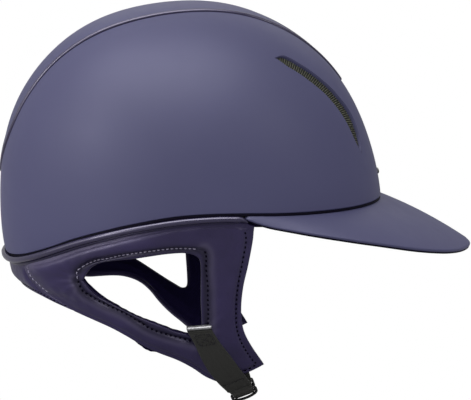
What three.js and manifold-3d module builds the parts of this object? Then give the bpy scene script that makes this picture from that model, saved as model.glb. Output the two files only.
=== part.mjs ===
// Equestrian riding helmet with a wide peak, leather harness and chin strap.
// Frame: millimetres, +X to the front, +Y to the wearer's left, +Z up.
// Origin: centre of the head opening at the height of the shell's side rim.
import * as THREE from 'three';
import { mergeVertices } from 'three/addons/utils/BufferGeometryUtils.js';
import Module from 'manifold-3d';

const wasm = await Module();
wasm.setup();

// ---------------------------------------------------------------- driving dimensions
const GAP = 0.35;                       // clearance between touching pieces
const SHELL_T = 3.0;                    // shell wall
const SHELL_C = [-6, 0, 22];            // centre of the shell's form
const SHELL_B = 107;                    // half width of the shell
const SHELL_N = 2.2;                    // roundness exponent of the shell
// mid-plane radius of the shell: constant, then cos / sin pairs of the angle from +X
const SHELL_R = [129.4452, 3.1018, -1.9496, 7.0658, 0.6655, 2.0922, -3.6129, -0.8415,
  -0.8313, 1.2871, -1.9554, -1.6871, -1.2911, -0.7259, 0.7708];
const EPS_OUT = 4.5, EPS_IN = 23.5;       // foam liner, as depths below the shell's surface
const PAD_IN = 26, PAD_T = 6;       // comfort pads on the foam
const BEAD_R = 1.5;                     // crown bead
const PIPE_R = 1.8;                     // piping under the rim
const PEAK_T = 2.4;                     // peak thickness
const LEATHER_T = 3.0;                  // harness leather
const LINING_OUT = 5.9, LINING_IN = 8.4;  // harness lining, depths below the harness surface
const WEB_OUT = 3.9, WEB_IN = 5.0;      // retention webbing inside the harness
const STRAP_W = 14.2, STRAP_T = 2.2;      // chin strap webbing
const HARNESS_X = -4, HARNESS_N = 2.2;  // centre and roundness of the harness surface
const WIRE_R = 1.15;                    // adjuster ring bar radius

// harness surface: level, half width, depth to the rear, depth to the front
const HARNESS = [
  [10, 104, 128, 128], [-10, 101.5, 130, 126], [-30, 99, 128, 124], [-45, 96.5, 124, 122],
  [-55, 94, 117, 120], [-65, 91.5, 111, 118], [-80, 86.5, 101, 116], [-95, 80.5, 92, 114],
  [-110, 73.5, 84, 112], [-125, 66, 78, 110], [-140, 58, 72, 108]];
// lower edge of the shell, right half, rear to front
const RIM = [
  [-133.5, 0, -29.4], [-131.5, -10, -29.6], [-129.7, -22.7, -29.8], [-126.3, -35.5, -29.0], [-118.6, -52.8, -26.0],
  [-107.9, -68, -21], [-97.4, -78.3, -16.1], [-89.7, -84.4, -12.3], [-81.9, -89.3, -9.0],
  [-71.7, -94.5, -5.4], [-61.5, -98.5, -2.3], [-52.9, -101.1, 0.2], [-33.4, -105, 4.6],
  [-21.5, -106.1, 6.7], [-9.5, -106.6, 8.1], [0, -106.5, 8.7], [14, -106, 9.0], [32.7, -104, 8.8],
  [53.2, -99.5, 7.9], [69.4, -94, 7.4], [85.9, -85.9, 7.1], [98.7, -77.3, 6.9], [108, -69.2, 6.8],
  [118.2, -57.4, 6.8], [125.7, -45.3, 6.8], [130, -35.6, 6.8], [133.2, -25.3, 6.8], [134.6, -12, 6.8], [135, 0, 6.8]];
// edge of the crown panel, right half, rear tip to front tip
const CROWN = [
  [-134, 0, 26], [-133, -6.5, 32], [-132, -12.5, 38.5], [-130.4, -18, 45], [-127.5, -23, 53], [-124, -26.6, 62], [-118, -29.4, 76],
  [-108, -31.2, 91], [-98, -32.4, 104], [-90.6, -33.2, 110.5], [-76.5, -34.6, 119.6], [-62, -35.5, 126.4],
  [-45, -35.9, 132.7], [-34, -35.7, 135.7], [-22, -35.1, 138.5], [-8, -34, 140], [7, -32.4, 140],
  [19, -30.6, 139], [31, -28.3, 137.4], [42.5, -25.6, 134.7], [54.5, -22.3, 130.6], [66.4, -18.5, 124.7],
  [76, -15, 118.5], [84, -11.7, 112], [92, -8, 104.5], [99, -4.2, 96], [105, 0, 87]];
// vent crescent, right side: front edge and rear edge between the same two tips
const VENT_F = [
  [54.3, -63.7, 109.8], [57.9, -59.6, 111.2], [61.4, -57, 110.9], [66.9, -55.5, 108.3], [73.6, -54.1, 104.1],
  [80.5, -52.1, 99.5], [88.1, -49.8, 93.6], [95.1, -47.2, 87.3], [101.4, -45, 80.3], [107.2, -42.6, 73.3],
  [110.9, -41.6, 67.7], [113.6, -41.8, 61.7], [116, -43.2, 54.4], [116.9, -45.6, 47.6], [116.4, -49.6, 41.2]];
const VENT_R = [
  [54.3, -63.7, 109.8], [58.5, -64, 106.9], [63.4, -63.8, 103.6], [68.8, -62.7, 100.5], [77.6, -61, 94.3],
  [83.7, -59.5, 89.5], [89.2, -57.9, 84.9], [93.3, -56.7, 80.4], [97.5, -55.6, 75.6], [101.7, -54.5, 70.1],
  [105.1, -53.7, 64.6], [107.8, -53.1, 58.6], [110.7, -52.6, 52.5], [113.5, -51.7, 46.4], [116.4, -49.6, 41.2]];
// outer edge of the peak, right half, root to tip
const PEAK_EDGE = [
  [37, -104.0, 5.6], [47, -104.9, 2.2], [60, -105.5, -1.4], [74, -105.7, -4.5], [88, -105, -7.2],
  [101.1, -103.4, -9.6], [113, -101, -11.8], [123.8, -98.1, -13.8], [134, -94.5, -15.9], [143.9, -90.1, -18.1],
  [153, -85, -20.1], [160.9, -79.5, -21.8], [168, -73.5, -23.3], [174.6, -67, -24.7], [180.5, -60, -25.8],
  [185.7, -52.6, -26.7], [190, -45, -27.4], [193.6, -37.5, -27.9], [196.5, -30, -28.3], [198.8, -22.5, -28.6],
  [200.3, -15, -28.8], [201.1, -7.5, -28.9], [201.3, 0, -29.0]];
const PEAK_ROOT_DEG = 68.2;             // plan angle at which the peak leaves the shell's rim

// harness outlines, right side, as plan angle (deg, 0 front, 90 right, 180 rear) and level
const SEAM = [[140.1, -63.2], [144.6, -58.0], [150.5, -52.9], [153.7, -47.1], [155.2, -43.6], [156.1, -37.7], [157.2, -34.4]];
const ARM_FRONT = [[67.2, -0.3], [67.35, -4], [67.4, -10.2], [68.55, -28], [69.57, -42.5], [69.69, -53.3], [69.1, -63.9],
  [67.5, -73.9], [65.2, -81.1], [60.84, -90.7], [54.05, -102.7]];
const TAB_END = [[54.05, -102.7], [59.42, -107.0], [66.57, -111.1], [74.3, -115.3]];
const LOWER_EDGE = [[74.3, -115.3], [82.4, -110.2], [89, -103.6], [96.6, -97.2], [106.8, -90.7], [114.5, -84.2],
  [119.6, -78.9], [125.4, -73.5], [132.4, -68.5], [139.2, -64.0]];
const EAR_TOP = [[131.9, -39.3], [130.4, -34.5], [128.1, -29.8], [124.7, -26.3], [119.7, -24.3], [113.2, -22.9], [106.5, -20.8],
  [99.8, -19], [93, -18.4], [89.6, -19.7], [87.5, -21.8]];
const EAR_FRONT = [[87.5, -21.8], [86.9, -26], [86.7, -37.7], [86.5, -52.4], [85.9, -65.9], [85.6, -75]];
const EAR_CORNER = [[85.6, -75], [86.2, -78.2], [88.6, -78.8]];
const EAR_LOW = [[88.6, -78.8], [92.4, -76.4], [98.5, -73.2], [102.7, -70], [108.1, -66.4], [113.4, -62.7], [118.5, -58.2],
  [123.4, -53.7], [128, -49], [129.9, -45.3], [131.9, -39.9]];
// the soft left side sits higher behind the strap
const EAR_LOW_LEFT = [[88.6, -78.8], [91.5, -76.8], [95.3, -73.6], [98.6, -70.2], [102.4, -66], [106.1, -61.6], [110, -57.2], [114.5, -53.2], [119.5, -50],
  [124.5, -48], [128.5, -46], [130.4, -43.8], [131.9, -39.9]];
const LOWER_EDGE_LEFT = [[74.3, -115.3], [80.2, -111.2], [85.7, -106.3], [89.6, -102.2], [93.9, -96.9], [97.6, -91.8], [101, -86], [104.2, -79.4], [107.8, -74],
  [111.7, -70.6], [116.5, -68.2], [121.5, -67.2], [127, -66.6], [133, -65.8], [139.2, -64.0]];
const PIPE = [[70.4, 2.9], [71.2, 4.4], [72.6, 5.9], [75, 6.6], [80.2, 6.9], [87.8, 6.4], [93, 5.7], [99.5, 4.2], [106, 2.1], [112.5, -0.4],
  [116.4, -2.3], [121, -4.7], [126.4, -7.9], [132, -11.6], [137.9, -16.1], [144, -20.8], [151.2, -25.8],
  [160.4, -30.3], [167, -31.6], [173, -31.7], [180, -31.5]];
const NAPE_LOW = [[140.9, -62.9], [143.5, -61.5], [146.8, -59.9], [150.5, -58.1], [154.5, -56.4], [160, -55.2], [168, -54.4], [180, -54]];
const WEB_FRONT = [[78, 9.6], [78, -20], [78, -45], [78, -64], [79, -84]];
const WEB_REAR_LEFT = [[147.4, -21.6], [146.4, -28], [143, -41], [138, -50], [130, -56.5], [121, -58.8], [113, -62.2], [106.5, -68.5], [101, -76.5], [95, -86.5]];
const WEB_REAR_W = 8.5;                 // rear retention webbing width
const STRAP_LEFT_FROM = 2;              // tenths down its path at which the left strap starts
const WEB_REAR = [[147.4, -21.6], [146.4, -28], [143, -41], [138, -50], [125, -63.5], [113, -74], [103, -82.5], [95, -88]];
// chin strap webbing on the right side: rear and front edges as plan angle and level
const STRAP_REAR = [[92.24, -73.2], [89.14, -82.0], [85.65, -93.2], [81.85, -102.6], [75.27, -113.7], [69.3, -121.0]];
const STRAP_FRONT = [[81.69, -72.2], [77.24, -82.4], [71.98, -92.2], [65.9, -103.0], [58.6, -114.8]];

// lower strap hardware: local axes on the right side
const BAR_C = [32.9, -66.2, -122.4];    // centre of the ring's straight bar
const W_DIR = [0.938, 0, 0.347];        // along the bar, towards the front
const D_DIR = [0.347, 0, -0.938];       // away from the strap's end, downwards
const RING_TILT = 50;                   // degrees that the ring leans under the chin
const RING_HW = 8.75, RING_DEPTH = 11.5, RING_MID = 5.0;
const STRAP_LEVEL = 3.4;                // chin strap centre below the bar

// ---------------------------------------------------------------- small maths
const V = (x, y, z) => new THREE.Vector3(x, y, z);
const rad = (d) => (d * Math.PI) / 180;
const lerp = (a, b, t) => a + (b - a) * t;
const flip = (p) => V(p.x, -p.y, p.z);

// monotone piecewise cubic through (x, y) with x ascending
function pchip(x, y) {
  const n = x.length, h = [], s = [], m = new Array(n).fill(0);
  for (let i = 0; i < n - 1; i++) { h.push(x[i + 1] - x[i]); s.push((y[i + 1] - y[i]) / h[i]); }
  for (let i = 1; i < n - 1; i++) {
    if (s[i - 1] * s[i] > 0) {
      const a = 2 * h[i] + h[i - 1], b = h[i] + 2 * h[i - 1];
      m[i] = (a + b) / (a / s[i - 1] + b / s[i]);
    }
  }
  const end = (h0, h1, s0, s1) => {
    let d = ((2 * h0 + h1) * s0 - h0 * s1) / (h0 + h1);
    if (d * s0 <= 0) d = 0; else if (s0 * s1 <= 0 && Math.abs(d) > 3 * Math.abs(s0)) d = 3 * s0;
    return d;
  };
  if (n > 2) { m[0] = end(h[0], h[1], s[0], s[1]); m[n - 1] = end(h[n - 2], h[n - 3], s[n - 2], s[n - 3]); } else { m[0] = m[1] = s[0]; }
  return (q) => {
    q = Math.min(Math.max(q, x[0]), x[n - 1]);
    let i = 0; while (i < n - 2 && q > x[i + 1]) i++;
    const t = (q - x[i]) / h[i], t2 = t * t, t3 = t2 * t;
    return (2 * t3 - 3 * t2 + 1) * y[i] + (t3 - 2 * t2 + t) * h[i] * m[i] + (-2 * t3 + 3 * t2) * y[i + 1] + (t3 - t2) * h[i] * m[i + 1];
  };
}
// a polyline of vectors sampled evenly by length into n + 1 points
function even(points, n, smooth = true) {
  const c = smooth ? new THREE.CatmullRomCurve3(points, false, 'centripetal') : null;
  const src = smooth ? c.getPoints(points.length * 12) : points;
  const acc = [0]; for (let i = 1; i < src.length; i++) acc.push(acc[i - 1] + src[i].distanceTo(src[i - 1]));
  const out = []; let k = 1;
  for (let i = 0; i <= n; i++) {
    const d = (acc[acc.length - 1] * i) / n;
    while (k < src.length - 1 && acc[k] < d) k++;
    const t = (d - acc[k - 1]) / Math.max(acc[k] - acc[k - 1], 1e-9);
    out.push(src[k - 1].clone().lerp(src[k], Math.min(Math.max(t, 0), 1)));
  }
  return out;
}
const vs = (list) => list.map((p) => V(...p));
const uv = (list) => list.map((p) => V(p[0] * 1.6, p[1], 0));      // plan angle scaled to about a millimetre
const unuv = (p) => [p.x / 1.6, p.y];

// shell surface at depth d in the direction of p from the centre
function shellR0(a) {
  let r = SHELL_R[0];
  for (let k = 1; k <= 7; k++) r += SHELL_R[2 * k - 1] * Math.cos(k * a) + SHELL_R[2 * k] * Math.sin(k * a);
  return r;
}
function onShell(p, depth = 0) {
  const q = [p.x - SHELL_C[0], p.y - SHELL_C[1], p.z - SHELL_C[2]];
  const rho = Math.hypot(q[0], q[2]), a = Math.atan2(q[2], q[0]), L = Math.hypot(rho, q[1]);
  const cb = rho / L, sb = Math.abs(q[1]) / L;
  const r = (((cb / (shellR0(a) - depth)) ** SHELL_N) + ((sb / (SHELL_B - depth)) ** SHELL_N)) ** (-1 / SHELL_N);
  return V(SHELL_C[0] + (q[0] / L) * r, (q[1] / L) * r, SHELL_C[2] + (q[2] / L) * r);
}
// shell surface at a plan angle about the harness centre and a level
function shellAt(deg, z, depth) {
  const c = Math.cos(rad(deg)), s = -Math.sin(rad(deg));
  let lo = 20, hi = 260;
  for (let i = 0; i < 40; i++) {
    const m = (lo + hi) / 2, p = V(HARNESS_X + m * c, m * s, z), f = onShell(p, depth);
    if (p.distanceTo(V(...SHELL_C)) < f.distanceTo(V(...SHELL_C))) lo = m; else hi = m;
  }
  return V(HARNESS_X + lo * c, lo * s, z);
}
const hz = HARNESS.map((r) => r[0]).reverse();
const hb = pchip(hz, HARNESS.map((r) => r[1]).reverse());
const hr = pchip(hz, HARNESS.map((r) => r[2]).reverse());
const hf = pchip(hz, HARNESS.map((r) => r[3]).reverse());
// harness surface: plan angle, level, depth (negative stands outside)
function onHarness(deg, z, depth = 0) {
  const c = Math.cos(rad(deg)), s = Math.sin(rad(deg)), zz = Math.min(Math.max(z, -140), 10);
  const a = (c < 0 ? hr(zz) : hf(zz)) - depth, b = hb(zz) - depth;
  const r = ((Math.abs(c) / a) ** HARNESS_N + (Math.abs(s) / b) ** HARNESS_N) ** (-1 / HARNESS_N);
  return V(HARNESS_X + r * c, -r * s, z);
}

// ---------------------------------------------------------------- solids from grids
function weld(pos, tri) {
  const key = new Map(), map = [], out = [];
  pos.forEach((p, i) => {
    const k = `${Math.round(p.x * 2e3)},${Math.round(p.y * 2e3)},${Math.round(p.z * 2e3)}`;
    if (!key.has(k)) { key.set(k, out.length); out.push(p); }
    map[i] = key.get(k);
  });
  const t = tri.map((a) => a.map((i) => map[i])).filter(([a, b, c]) => a !== b && b !== c && a !== c);
  let vol = 0;
  for (const [a, b, c] of t) vol += out[a].dot(out[b].clone().cross(out[c]));
  const g = new THREE.BufferGeometry();
  g.setAttribute('position', new THREE.Float32BufferAttribute(out.flatMap((p) => [p.x, p.y, p.z]), 3));
  g.setIndex(t.flatMap(([a, b, c]) => (vol > 0 ? [a, b, c] : [a, c, b])));
  g.computeVertexNormals();
  return g;
}
// two matching grids [row][column] joined into one closed body; wrap closes the columns
function gridSolid(A, B, wrap = false) {
  const R = A.length, C = A[0].length, pos = [...A.flat(), ...B.flat()], tri = [];
  const ia = (r, c) => r * C + (c % C), ib = (r, c) => R * C + r * C + (c % C);
  const cols = wrap ? C : C - 1;
  for (let r = 0; r < R - 1; r++) {
    for (let c = 0; c < cols; c++) {
      tri.push([ia(r, c), ia(r, c + 1), ia(r + 1, c + 1)], [ia(r, c), ia(r + 1, c + 1), ia(r + 1, c)]);
      tri.push([ib(r, c), ib(r + 1, c + 1), ib(r, c + 1)], [ib(r, c), ib(r + 1, c), ib(r + 1, c + 1)]);
    }
  }
  for (let c = 0; c < cols; c++) {
    tri.push([ia(0, c), ib(0, c + 1), ia(0, c + 1)], [ia(0, c), ib(0, c), ib(0, c + 1)]);
    tri.push([ia(R - 1, c), ia(R - 1, c + 1), ib(R - 1, c + 1)], [ia(R - 1, c), ib(R - 1, c + 1), ib(R - 1, c)]);
  }
  if (!wrap) {
    for (let r = 0; r < R - 1; r++) {
      tri.push([ia(r, 0), ia(r + 1, 0), ib(r + 1, 0)], [ia(r, 0), ib(r + 1, 0), ib(r, 0)]);
      tri.push([ia(r, C - 1), ib(r + 1, C - 1), ia(r + 1, C - 1)], [ia(r, C - 1), ib(r, C - 1), ib(r + 1, C - 1)]);
    }
  }
  return weld(pos, tri);
}
// round bar along points; closed joins the last point to the first
function sweep(points, r, sides, closed = false, flat = 1) {
  const n = points.length, pos = [], tri = [];
  const T = points.map((p, i) => {
    const a = closed ? points[(i + n - 1) % n] : points[Math.max(i - 1, 0)];
    const b = closed ? points[(i + 1) % n] : points[Math.min(i + 1, n - 1)];
    return b.clone().sub(a).normalize();
  });
  let u = Math.abs(T[0].z) < 0.9 ? V(0, 0, 1) : V(1, 0, 0);
  const U = [];
  for (let i = 0; i < n; i++) { u = u.clone().addScaledVector(T[i], -u.dot(T[i])).normalize(); U.push(u); }
  let twist = 0;
  if (closed) {
    const e = U[n - 1].clone().addScaledVector(T[0], -U[n - 1].dot(T[0])).normalize();
    twist = Math.atan2(e.clone().cross(U[0]).dot(T[0]), e.dot(U[0]));
  }
  for (let i = 0; i < n; i++) {
    const w = T[i].clone().cross(U[i]);
    for (let k = 0; k < sides; k++) {
      const a = (k / sides) * 2 * Math.PI + (closed ? (twist * i) / n : 0);
      pos.push(points[i].clone().addScaledVector(U[i], r * Math.cos(a)).addScaledVector(w, r * flat * Math.sin(a)));
    }
  }
  const seg = closed ? n : n - 1;
  for (let i = 0; i < seg; i++) {
    for (let k = 0; k < sides; k++) {
      const a = i * sides + k, b = i * sides + ((k + 1) % sides), c = ((i + 1) % n) * sides + ((k + 1) % sides), d = ((i + 1) % n) * sides + k;
      tri.push([a, b, c], [a, c, d]);
    }
  }
  if (!closed) {
    for (let k = 1; k < sides - 1; k++) tri.push([0, k + 1, k], [(n - 1) * sides, (n - 1) * sides + k, (n - 1) * sides + k + 1]);
  }
  return weld(pos, tri);
}
function toManifold(g) {
  let m = g.clone(); m.deleteAttribute('normal'); if (m.attributes.uv) m.deleteAttribute('uv');
  m = mergeVertices(m, 1e-4);
  return new wasm.Manifold(new wasm.Mesh({ numProp: 3, vertProperties: Float32Array.from(m.attributes.position.array), triVerts: Uint32Array.from(m.index.array) }));
}
function fromManifold(m) {
  const o = m.getMesh(), g = new THREE.BufferGeometry();
  g.setAttribute('position', new THREE.BufferAttribute(Float32Array.from(o.vertProperties), 3));
  g.setIndex(Array.from(o.triVerts)); g.computeVertexNormals();
  return g;
}
const cut = (g, ...tools) => fromManifold(tools.reduce((m, t) => m.subtract(toManifold(t)), toManifold(g)));
const join = (...gs) => fromManifold(gs.slice(1).reduce((m, t) => m.add(toManifold(t)), toManifold(gs[0])));
const mirrored = (g) => {
  const m = g.clone(), p = m.attributes.position; for (let i = 0; i < p.count; i++) p.setY(i, -p.getY(i));
  const ix = Array.from(m.index.array); for (let i = 0; i < ix.length; i += 3) [ix[i + 1], ix[i + 2]] = [ix[i + 2], ix[i + 1]];
  m.setIndex(ix); m.computeVertexNormals(); return m;
};
// geometry given in the strap hardware's local axes (w, y, d) about an origin
function local(g, origin, sideSign = 1) {
  const m = new THREE.Matrix4().makeBasis(V(...W_DIR), V(0, 1, 0), V(...D_DIR));
  const o = V(origin[0], origin[1] * sideSign, origin[2]);
  const q = g.clone(); q.applyMatrix4(m); q.translate(o.x, o.y, o.z);
  if (m.determinant() < 0) { const ix = Array.from(q.index.array); for (let i = 0; i < ix.length; i += 3) [ix[i + 1], ix[i + 2]] = [ix[i + 2], ix[i + 1]]; q.setIndex(ix); }
  q.computeVertexNormals();
  return q;
}
const box = (x0, x1, y0, y1, z0, z1) => { const g = new THREE.BoxGeometry(x1 - x0, y1 - y0, z1 - z0); g.translate((x0 + x1) / 2, (y0 + y1) / 2, (z0 + z1) / 2); return g; };
const rod = (r, a, b, sides = 12) => sweep([a, b], r, sides);

const helmet = new THREE.Group();
const NAVY = 0x3d3d55, LEATHER = 0x25223a;
function put(name, geometry, color, roughness, metalness = 0) {
  const mesh = new THREE.Mesh(geometry, new THREE.MeshStandardMaterial({ color, roughness, metalness }));
  mesh.name = name; helmet.add(mesh); return mesh;
}
const both = (name, geometry, ...m) => { put(`${name}_right`, geometry, ...m); put(`${name}_left`, mirrored(geometry), ...m); };

// ---------------------------------------------------------------- shell loops
const halfLoop = (list, n) => { const h = even(vs(list), n); return [...h, ...h.slice(1, -1).reverse().map(flip)]; };
const NL = 28;                                             // columns in half a loop
const rimLoop = halfLoop(RIM, NL);
const crownLoop = halfLoop(CROWN, NL).map((p) => onShell(p));
const zAt = pchip(RIM.map((p) => (Math.atan2(Math.abs(p[1]), p[0] - HARNESS_X) * 180) / Math.PI).reverse(), RIM.map((p) => p[2]).reverse());
// a closed loop on the shell moved sideways by d, positive away from the loop's inside
function grow(loop, d) {
  const n = loop.length;
  return loop.map((p, i) => {
    const t = loop[(i + 1) % n].clone().sub(loop[(i + n - 1) % n]).normalize();
    const nrm = p.clone().sub(V(...SHELL_C)).normalize();
    const s = t.cross(nrm).normalize();
    return onShell(p.clone().addScaledVector(s, d));
  });
}
function between(loopA, loopB, rows, depth, centre = V(...SHELL_C)) {
  const g = [];
  for (let r = 0; r <= rows; r++) {
    g.push(loopA.map((p, i) => {
      const a = p.clone().sub(centre).normalize(), b = loopB[i].clone().sub(centre).normalize();
      return onShell(centre.clone().addScaledVector(a.lerp(b, r / rows).normalize(), 100), depth);
    }));
  }
  return g;
}
let s0 = grow(crownLoop, 1.9), s1 = grow(crownLoop, -1.9);
if (s0[NL / 2].y > crownLoop[NL / 2].y) [s0, s1] = [s1, s0];   // s0 lies outside the panel
const shellGrid = (depth) => {
  const g = between(rimLoop, s0, 6, depth);
  g[0] = rimLoop.map((p) => { const deg = (Math.atan2(-p.y, p.x - HARNESS_X) * 180) / Math.PI; return shellAt(deg, p.z, depth); });
  return g;
};
// vent cutters: crescent columns between two depths; k narrows the crescent
function ventBlock(d0, d1, k, inset, lift = 0) {                // lift raises the rear edge towards the shell's face
  const f = even(vs(VENT_F), 11), r = even(vs(VENT_R), 11);
  const row = (t, d) => f.map((p, i) => {
    const q = p.clone().lerp(r[i], 0.5), w = lerp(q.distanceTo(p), Math.max(q.distanceTo(p) - inset, 0.25), 1) * k;
    const dir = r[i].clone().sub(p); if (dir.length() < 1e-6) return onShell(q, d);
    dir.normalize(); return onShell(q.clone().addScaledVector(dir, w * t), d - lift * (t + 1) / 2);
  });
  const cutEnds = (a) => a.slice(inset > 0.4 ? 1 : 0, inset > 0.4 ? -1 : undefined);
  const ts = [-1, 1];
  return gridSolid(ts.map((t) => cutEnds(row(t, d0))), ts.map((t) => cutEnds(row(t, d1))));
}
const ventCut = ventBlock(-3, 6.5, 1, 0);
const shell = cut(gridSolid(shellGrid(0), shellGrid(SHELL_T), true), ventCut, mirrored(ventCut));
put('outer_shell', shell, NAVY, 0.55);

// crown panel: lateral rows between the two edges, tip to tip
const half = s1.slice(0, NL + 1);
const panel = (depth) => {
  const rows = [];
  for (let r = 0; r <= 4; r++) rows.push(half.map((p) => onShell(V(p.x, lerp(p.y, -p.y, r / 4), p.z + (1 - (2 * r / 4 - 1) ** 2) * 0.03 * Math.abs(p.y)), depth)));
  return rows;
};
put('crown_panel', gridSolid(panel(0.1), panel(SHELL_T - 0.1)), NAVY, 0.5);
put('crown_trim', sweep(crownLoop.map((p) => onShell(p, 1.2)), BEAD_R, 6, true), NAVY, 0.12);

// vents
const ventOuter = ventBlock(0.6, 5.6, 1, 0.35), ventInner = ventBlock(-1, 7, 1, 1.35);
both('vent_frame', cut(ventOuter, ventInner), NAVY, 0.35);
both('vent_mesh', ventBlock(4.4, 5.2, 1, 1.7, 2.9), 0x1d1e16, 0.6);

// foam liner: dome from the rim to the top, with an air channel behind each vent
const TOP = V(-6, 0, 160);
const rimIn = (depth, lift) => rimLoop.map((p) => { const deg = (Math.atan2(-p.y, p.x - HARNESS_X) * 180) / Math.PI; return shellAt(deg, p.z + lift, depth); });
const dome = (depth, lift, rows) => { const g = between(rimLoop, rimLoop.map(() => TOP), rows, depth); g[0] = rimIn(depth, lift); return g; };
const channel = ventBlock(1, 30, 0.72, 0.8);
const pocket = ventBlock(1, 9, 1.12, -0.6);
put('eps_liner', cut(gridSolid(dome(EPS_OUT, 2.2, 6), dome(EPS_IN, 2.2, 6), true), pocket, mirrored(pocket), channel, mirrored(channel)), 0x202024, 0.9);

// plastic carrier ring under the foam, which the harness is fixed to
const ringGrid = (d) => [rimIn(d, 1.7), rimIn(d, -3.2)];
put('rim_carrier', gridSolid(ringGrid(3.5), ringGrid(5.4), true), 0x151518, 0.5);

// front badge, left blank
const BADGE_Z = 22, BADGE_X = onShell(V(200, 0, BADGE_Z)).x;
{
  const sh = new THREE.Shape(); sh.absellipse(0, 0, 6, 1.8, 0, Math.PI * 2);
  const g = new THREE.ExtrudeGeometry(sh, { depth: 0.6, bevelEnabled: true, bevelThickness: 0.3, bevelSize: 0.3, bevelSegments: 1, curveSegments: 10 });
  g.rotateX(Math.PI / 2); g.rotateZ(Math.PI / 2); g.translate(BADGE_X + 0.65, 0, BADGE_Z);
  put('front_badge', mergeVertices(stripped(g), 1e-4), 0x0a0a0c, 0.3);
}
function stripped(g) { const q = g.clone(); q.deleteAttribute('normal'); if (q.attributes.uv) q.deleteAttribute('uv'); return q; }

// ---------------------------------------------------------------- peak
const NP = 28;
const edgeHalf = even(vs(PEAK_EDGE), NP / 2), edge = [...edgeHalf, ...edgeHalf.slice(0, -1).reverse().map(flip)];
const rootAngles = edge.map((p, i) => lerp(PEAK_ROOT_DEG, -PEAK_ROOT_DEG, i / NP));
const rootAt = (i, depth) => { const a = rootAngles[i]; const q = shellAt(Math.abs(a), zAt(Math.abs(a)) - GAP, depth); return a < 0 ? flip(q) : q; };
function peakTop(drop = 0) {
  const rows = [];
  const inner = edge.map((p, i) => rootAt(i, 3.0)), m = edge.map((p, i) => rootAt(i, 0.05));
  rows.push(inner, m);
  for (const s of [0.25, 0.5, 0.75, 1]) rows.push(m.map((p, i) => V(lerp(p.x, edge[i].x, s), lerp(p.y, edge[i].y, s), lerp(p.z, edge[i].z, 0.7 * s + 0.3 * s * s))));
  return rows;
}
function gridNormals(G) {
  const R = G.length, C = G[0].length;
  return G.map((row, r) => row.map((p, c) => {
    const a = G[Math.min(r + 1, R - 1)][c].clone().sub(G[Math.max(r - 1, 0)][c]);
    const b = G[r][Math.min(c + 1, C - 1)].clone().sub(G[r][Math.max(c - 1, 0)]);
    const n = a.cross(b).normalize(); return n.z < 0 || (Math.abs(n.z) < 0.05 && n.y * p.y < 0) ? n.negate() : n;
  }));
}
const pTop = peakTop(), pN = gridNormals(pTop);
pN[0].forEach((n) => n.set(0, 0, 1));
const pBot = pTop.map((row, r) => row.map((p, c) => p.clone().addScaledVector(pN[r][c], -PEAK_T)));
put('peak', gridSolid(pTop, pBot), NAVY, 0.55);
// fabric lining under the peak
{
  const sel = pTop.slice(1), nn = pN.slice(1), C = sel[0].length;
  const inset = (d) => {
    const rows = [];
    for (const s of [0.06, 0.36, 0.67, 0.955]) {
      const f = s * (sel.length - 1), i = Math.min(Math.floor(f), sel.length - 2), t = f - i;
      rows.push(sel[i].map((p, c) => p.clone().lerp(sel[i + 1][c], t).addScaledVector(nn[i][c].clone().lerp(nn[i + 1][c], t).normalize(), -d)).slice(2, C - 2));
    }
    return rows;
  };
  put('peak_lining', gridSolid(inset(PEAK_T + 0.3), inset(PEAK_T + 1.3)), 0x14131c, 0.95);
}

// ---------------------------------------------------------------- harness
const topEdge = []; for (let a = 157.2; a > 75; a -= 4.1) topEdge.push([a, zAt(a) - 4.0]);
topEdge.push([75, zAt(75) - 4.2], [72.5, 4.0], [70.3, 2.5], [68.7, 0.9], [67.2, -0.3]);
const seg = (list, n) => even(uv(list), n);
function loopOf(parts) { const out = []; for (const p of parts) out.push(...p.slice(0, -1)); return out; }
const outerOf = (low) => loopOf([seg(topEdge, 14), seg(ARM_FRONT, 9), seg(TAB_END, 2), seg(low, 10), seg([low[low.length - 1], ...SEAM.slice(0, 7)], 4)]);
const earRear = [[131.9, -39.9], [132.2, -39.6], [131.9, -39.3]];
const earOf = (low) => loopOf([seg(EAR_TOP, 14), seg(EAR_FRONT, 9), seg(EAR_CORNER, 2), seg(low, 10), seg(earRear, 4)]);
const sides = [['right', outerOf(LOWER_EDGE), earOf(EAR_LOW)], ['left', outerOf(LOWER_EDGE_LEFT), earOf(EAR_LOW_LEFT)]];
const inLoop = (loop, centre, d) => loop.map((p, i) => {           // move each point inwards by d
  const n = loop.length, t = loop[(i + 1) % n].clone().sub(loop[(i + n - 1) % n]).normalize(), s = V(-t.y, t.x, 0);
  return p.clone().addScaledVector(s, d);
});
const area = (loop) => loop.reduce((a, p, i) => a + p.x * loop[(i + 1) % loop.length].y - p.y * loop[(i + 1) % loop.length].x, 0) / 2;
function ring(outer, inner, rows, depth) {
  const g = [];
  for (let r = 0; r <= rows; r++) g.push(outer.map((p, i) => { const [a, z] = unuv(p.clone().lerp(inner[i], r / rows)); return onHarness(a, z, depth); }));
  return g;
}
const oneSide = (side, g) => (side === 'left' ? mirrored(g) : g);
for (const [side, outer, ear] of sides) put(`side_harness_${side}`, oneSide(side, gridSolid(ring(outer, ear, 3, 0), ring(outer, ear, 3, LEATHER_T), true)), LEATHER, 0.35);
for (const [side, outer, ear] of sides) {
  const sgn = area(outer) > 0 ? 1 : -1, sgn2 = area(ear) > 0 ? 1 : -1;
  const o = inLoop(outer, null, 2.5 * sgn), e = inLoop(ear, null, -2.2 * sgn2);
  put(`harness_lining_${side}`, oneSide(side, gridSolid(ring(o, e, 2, LINING_OUT), ring(o, e, 2, LINING_IN), true)), 0x0a0712, 0.9);
}
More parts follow.
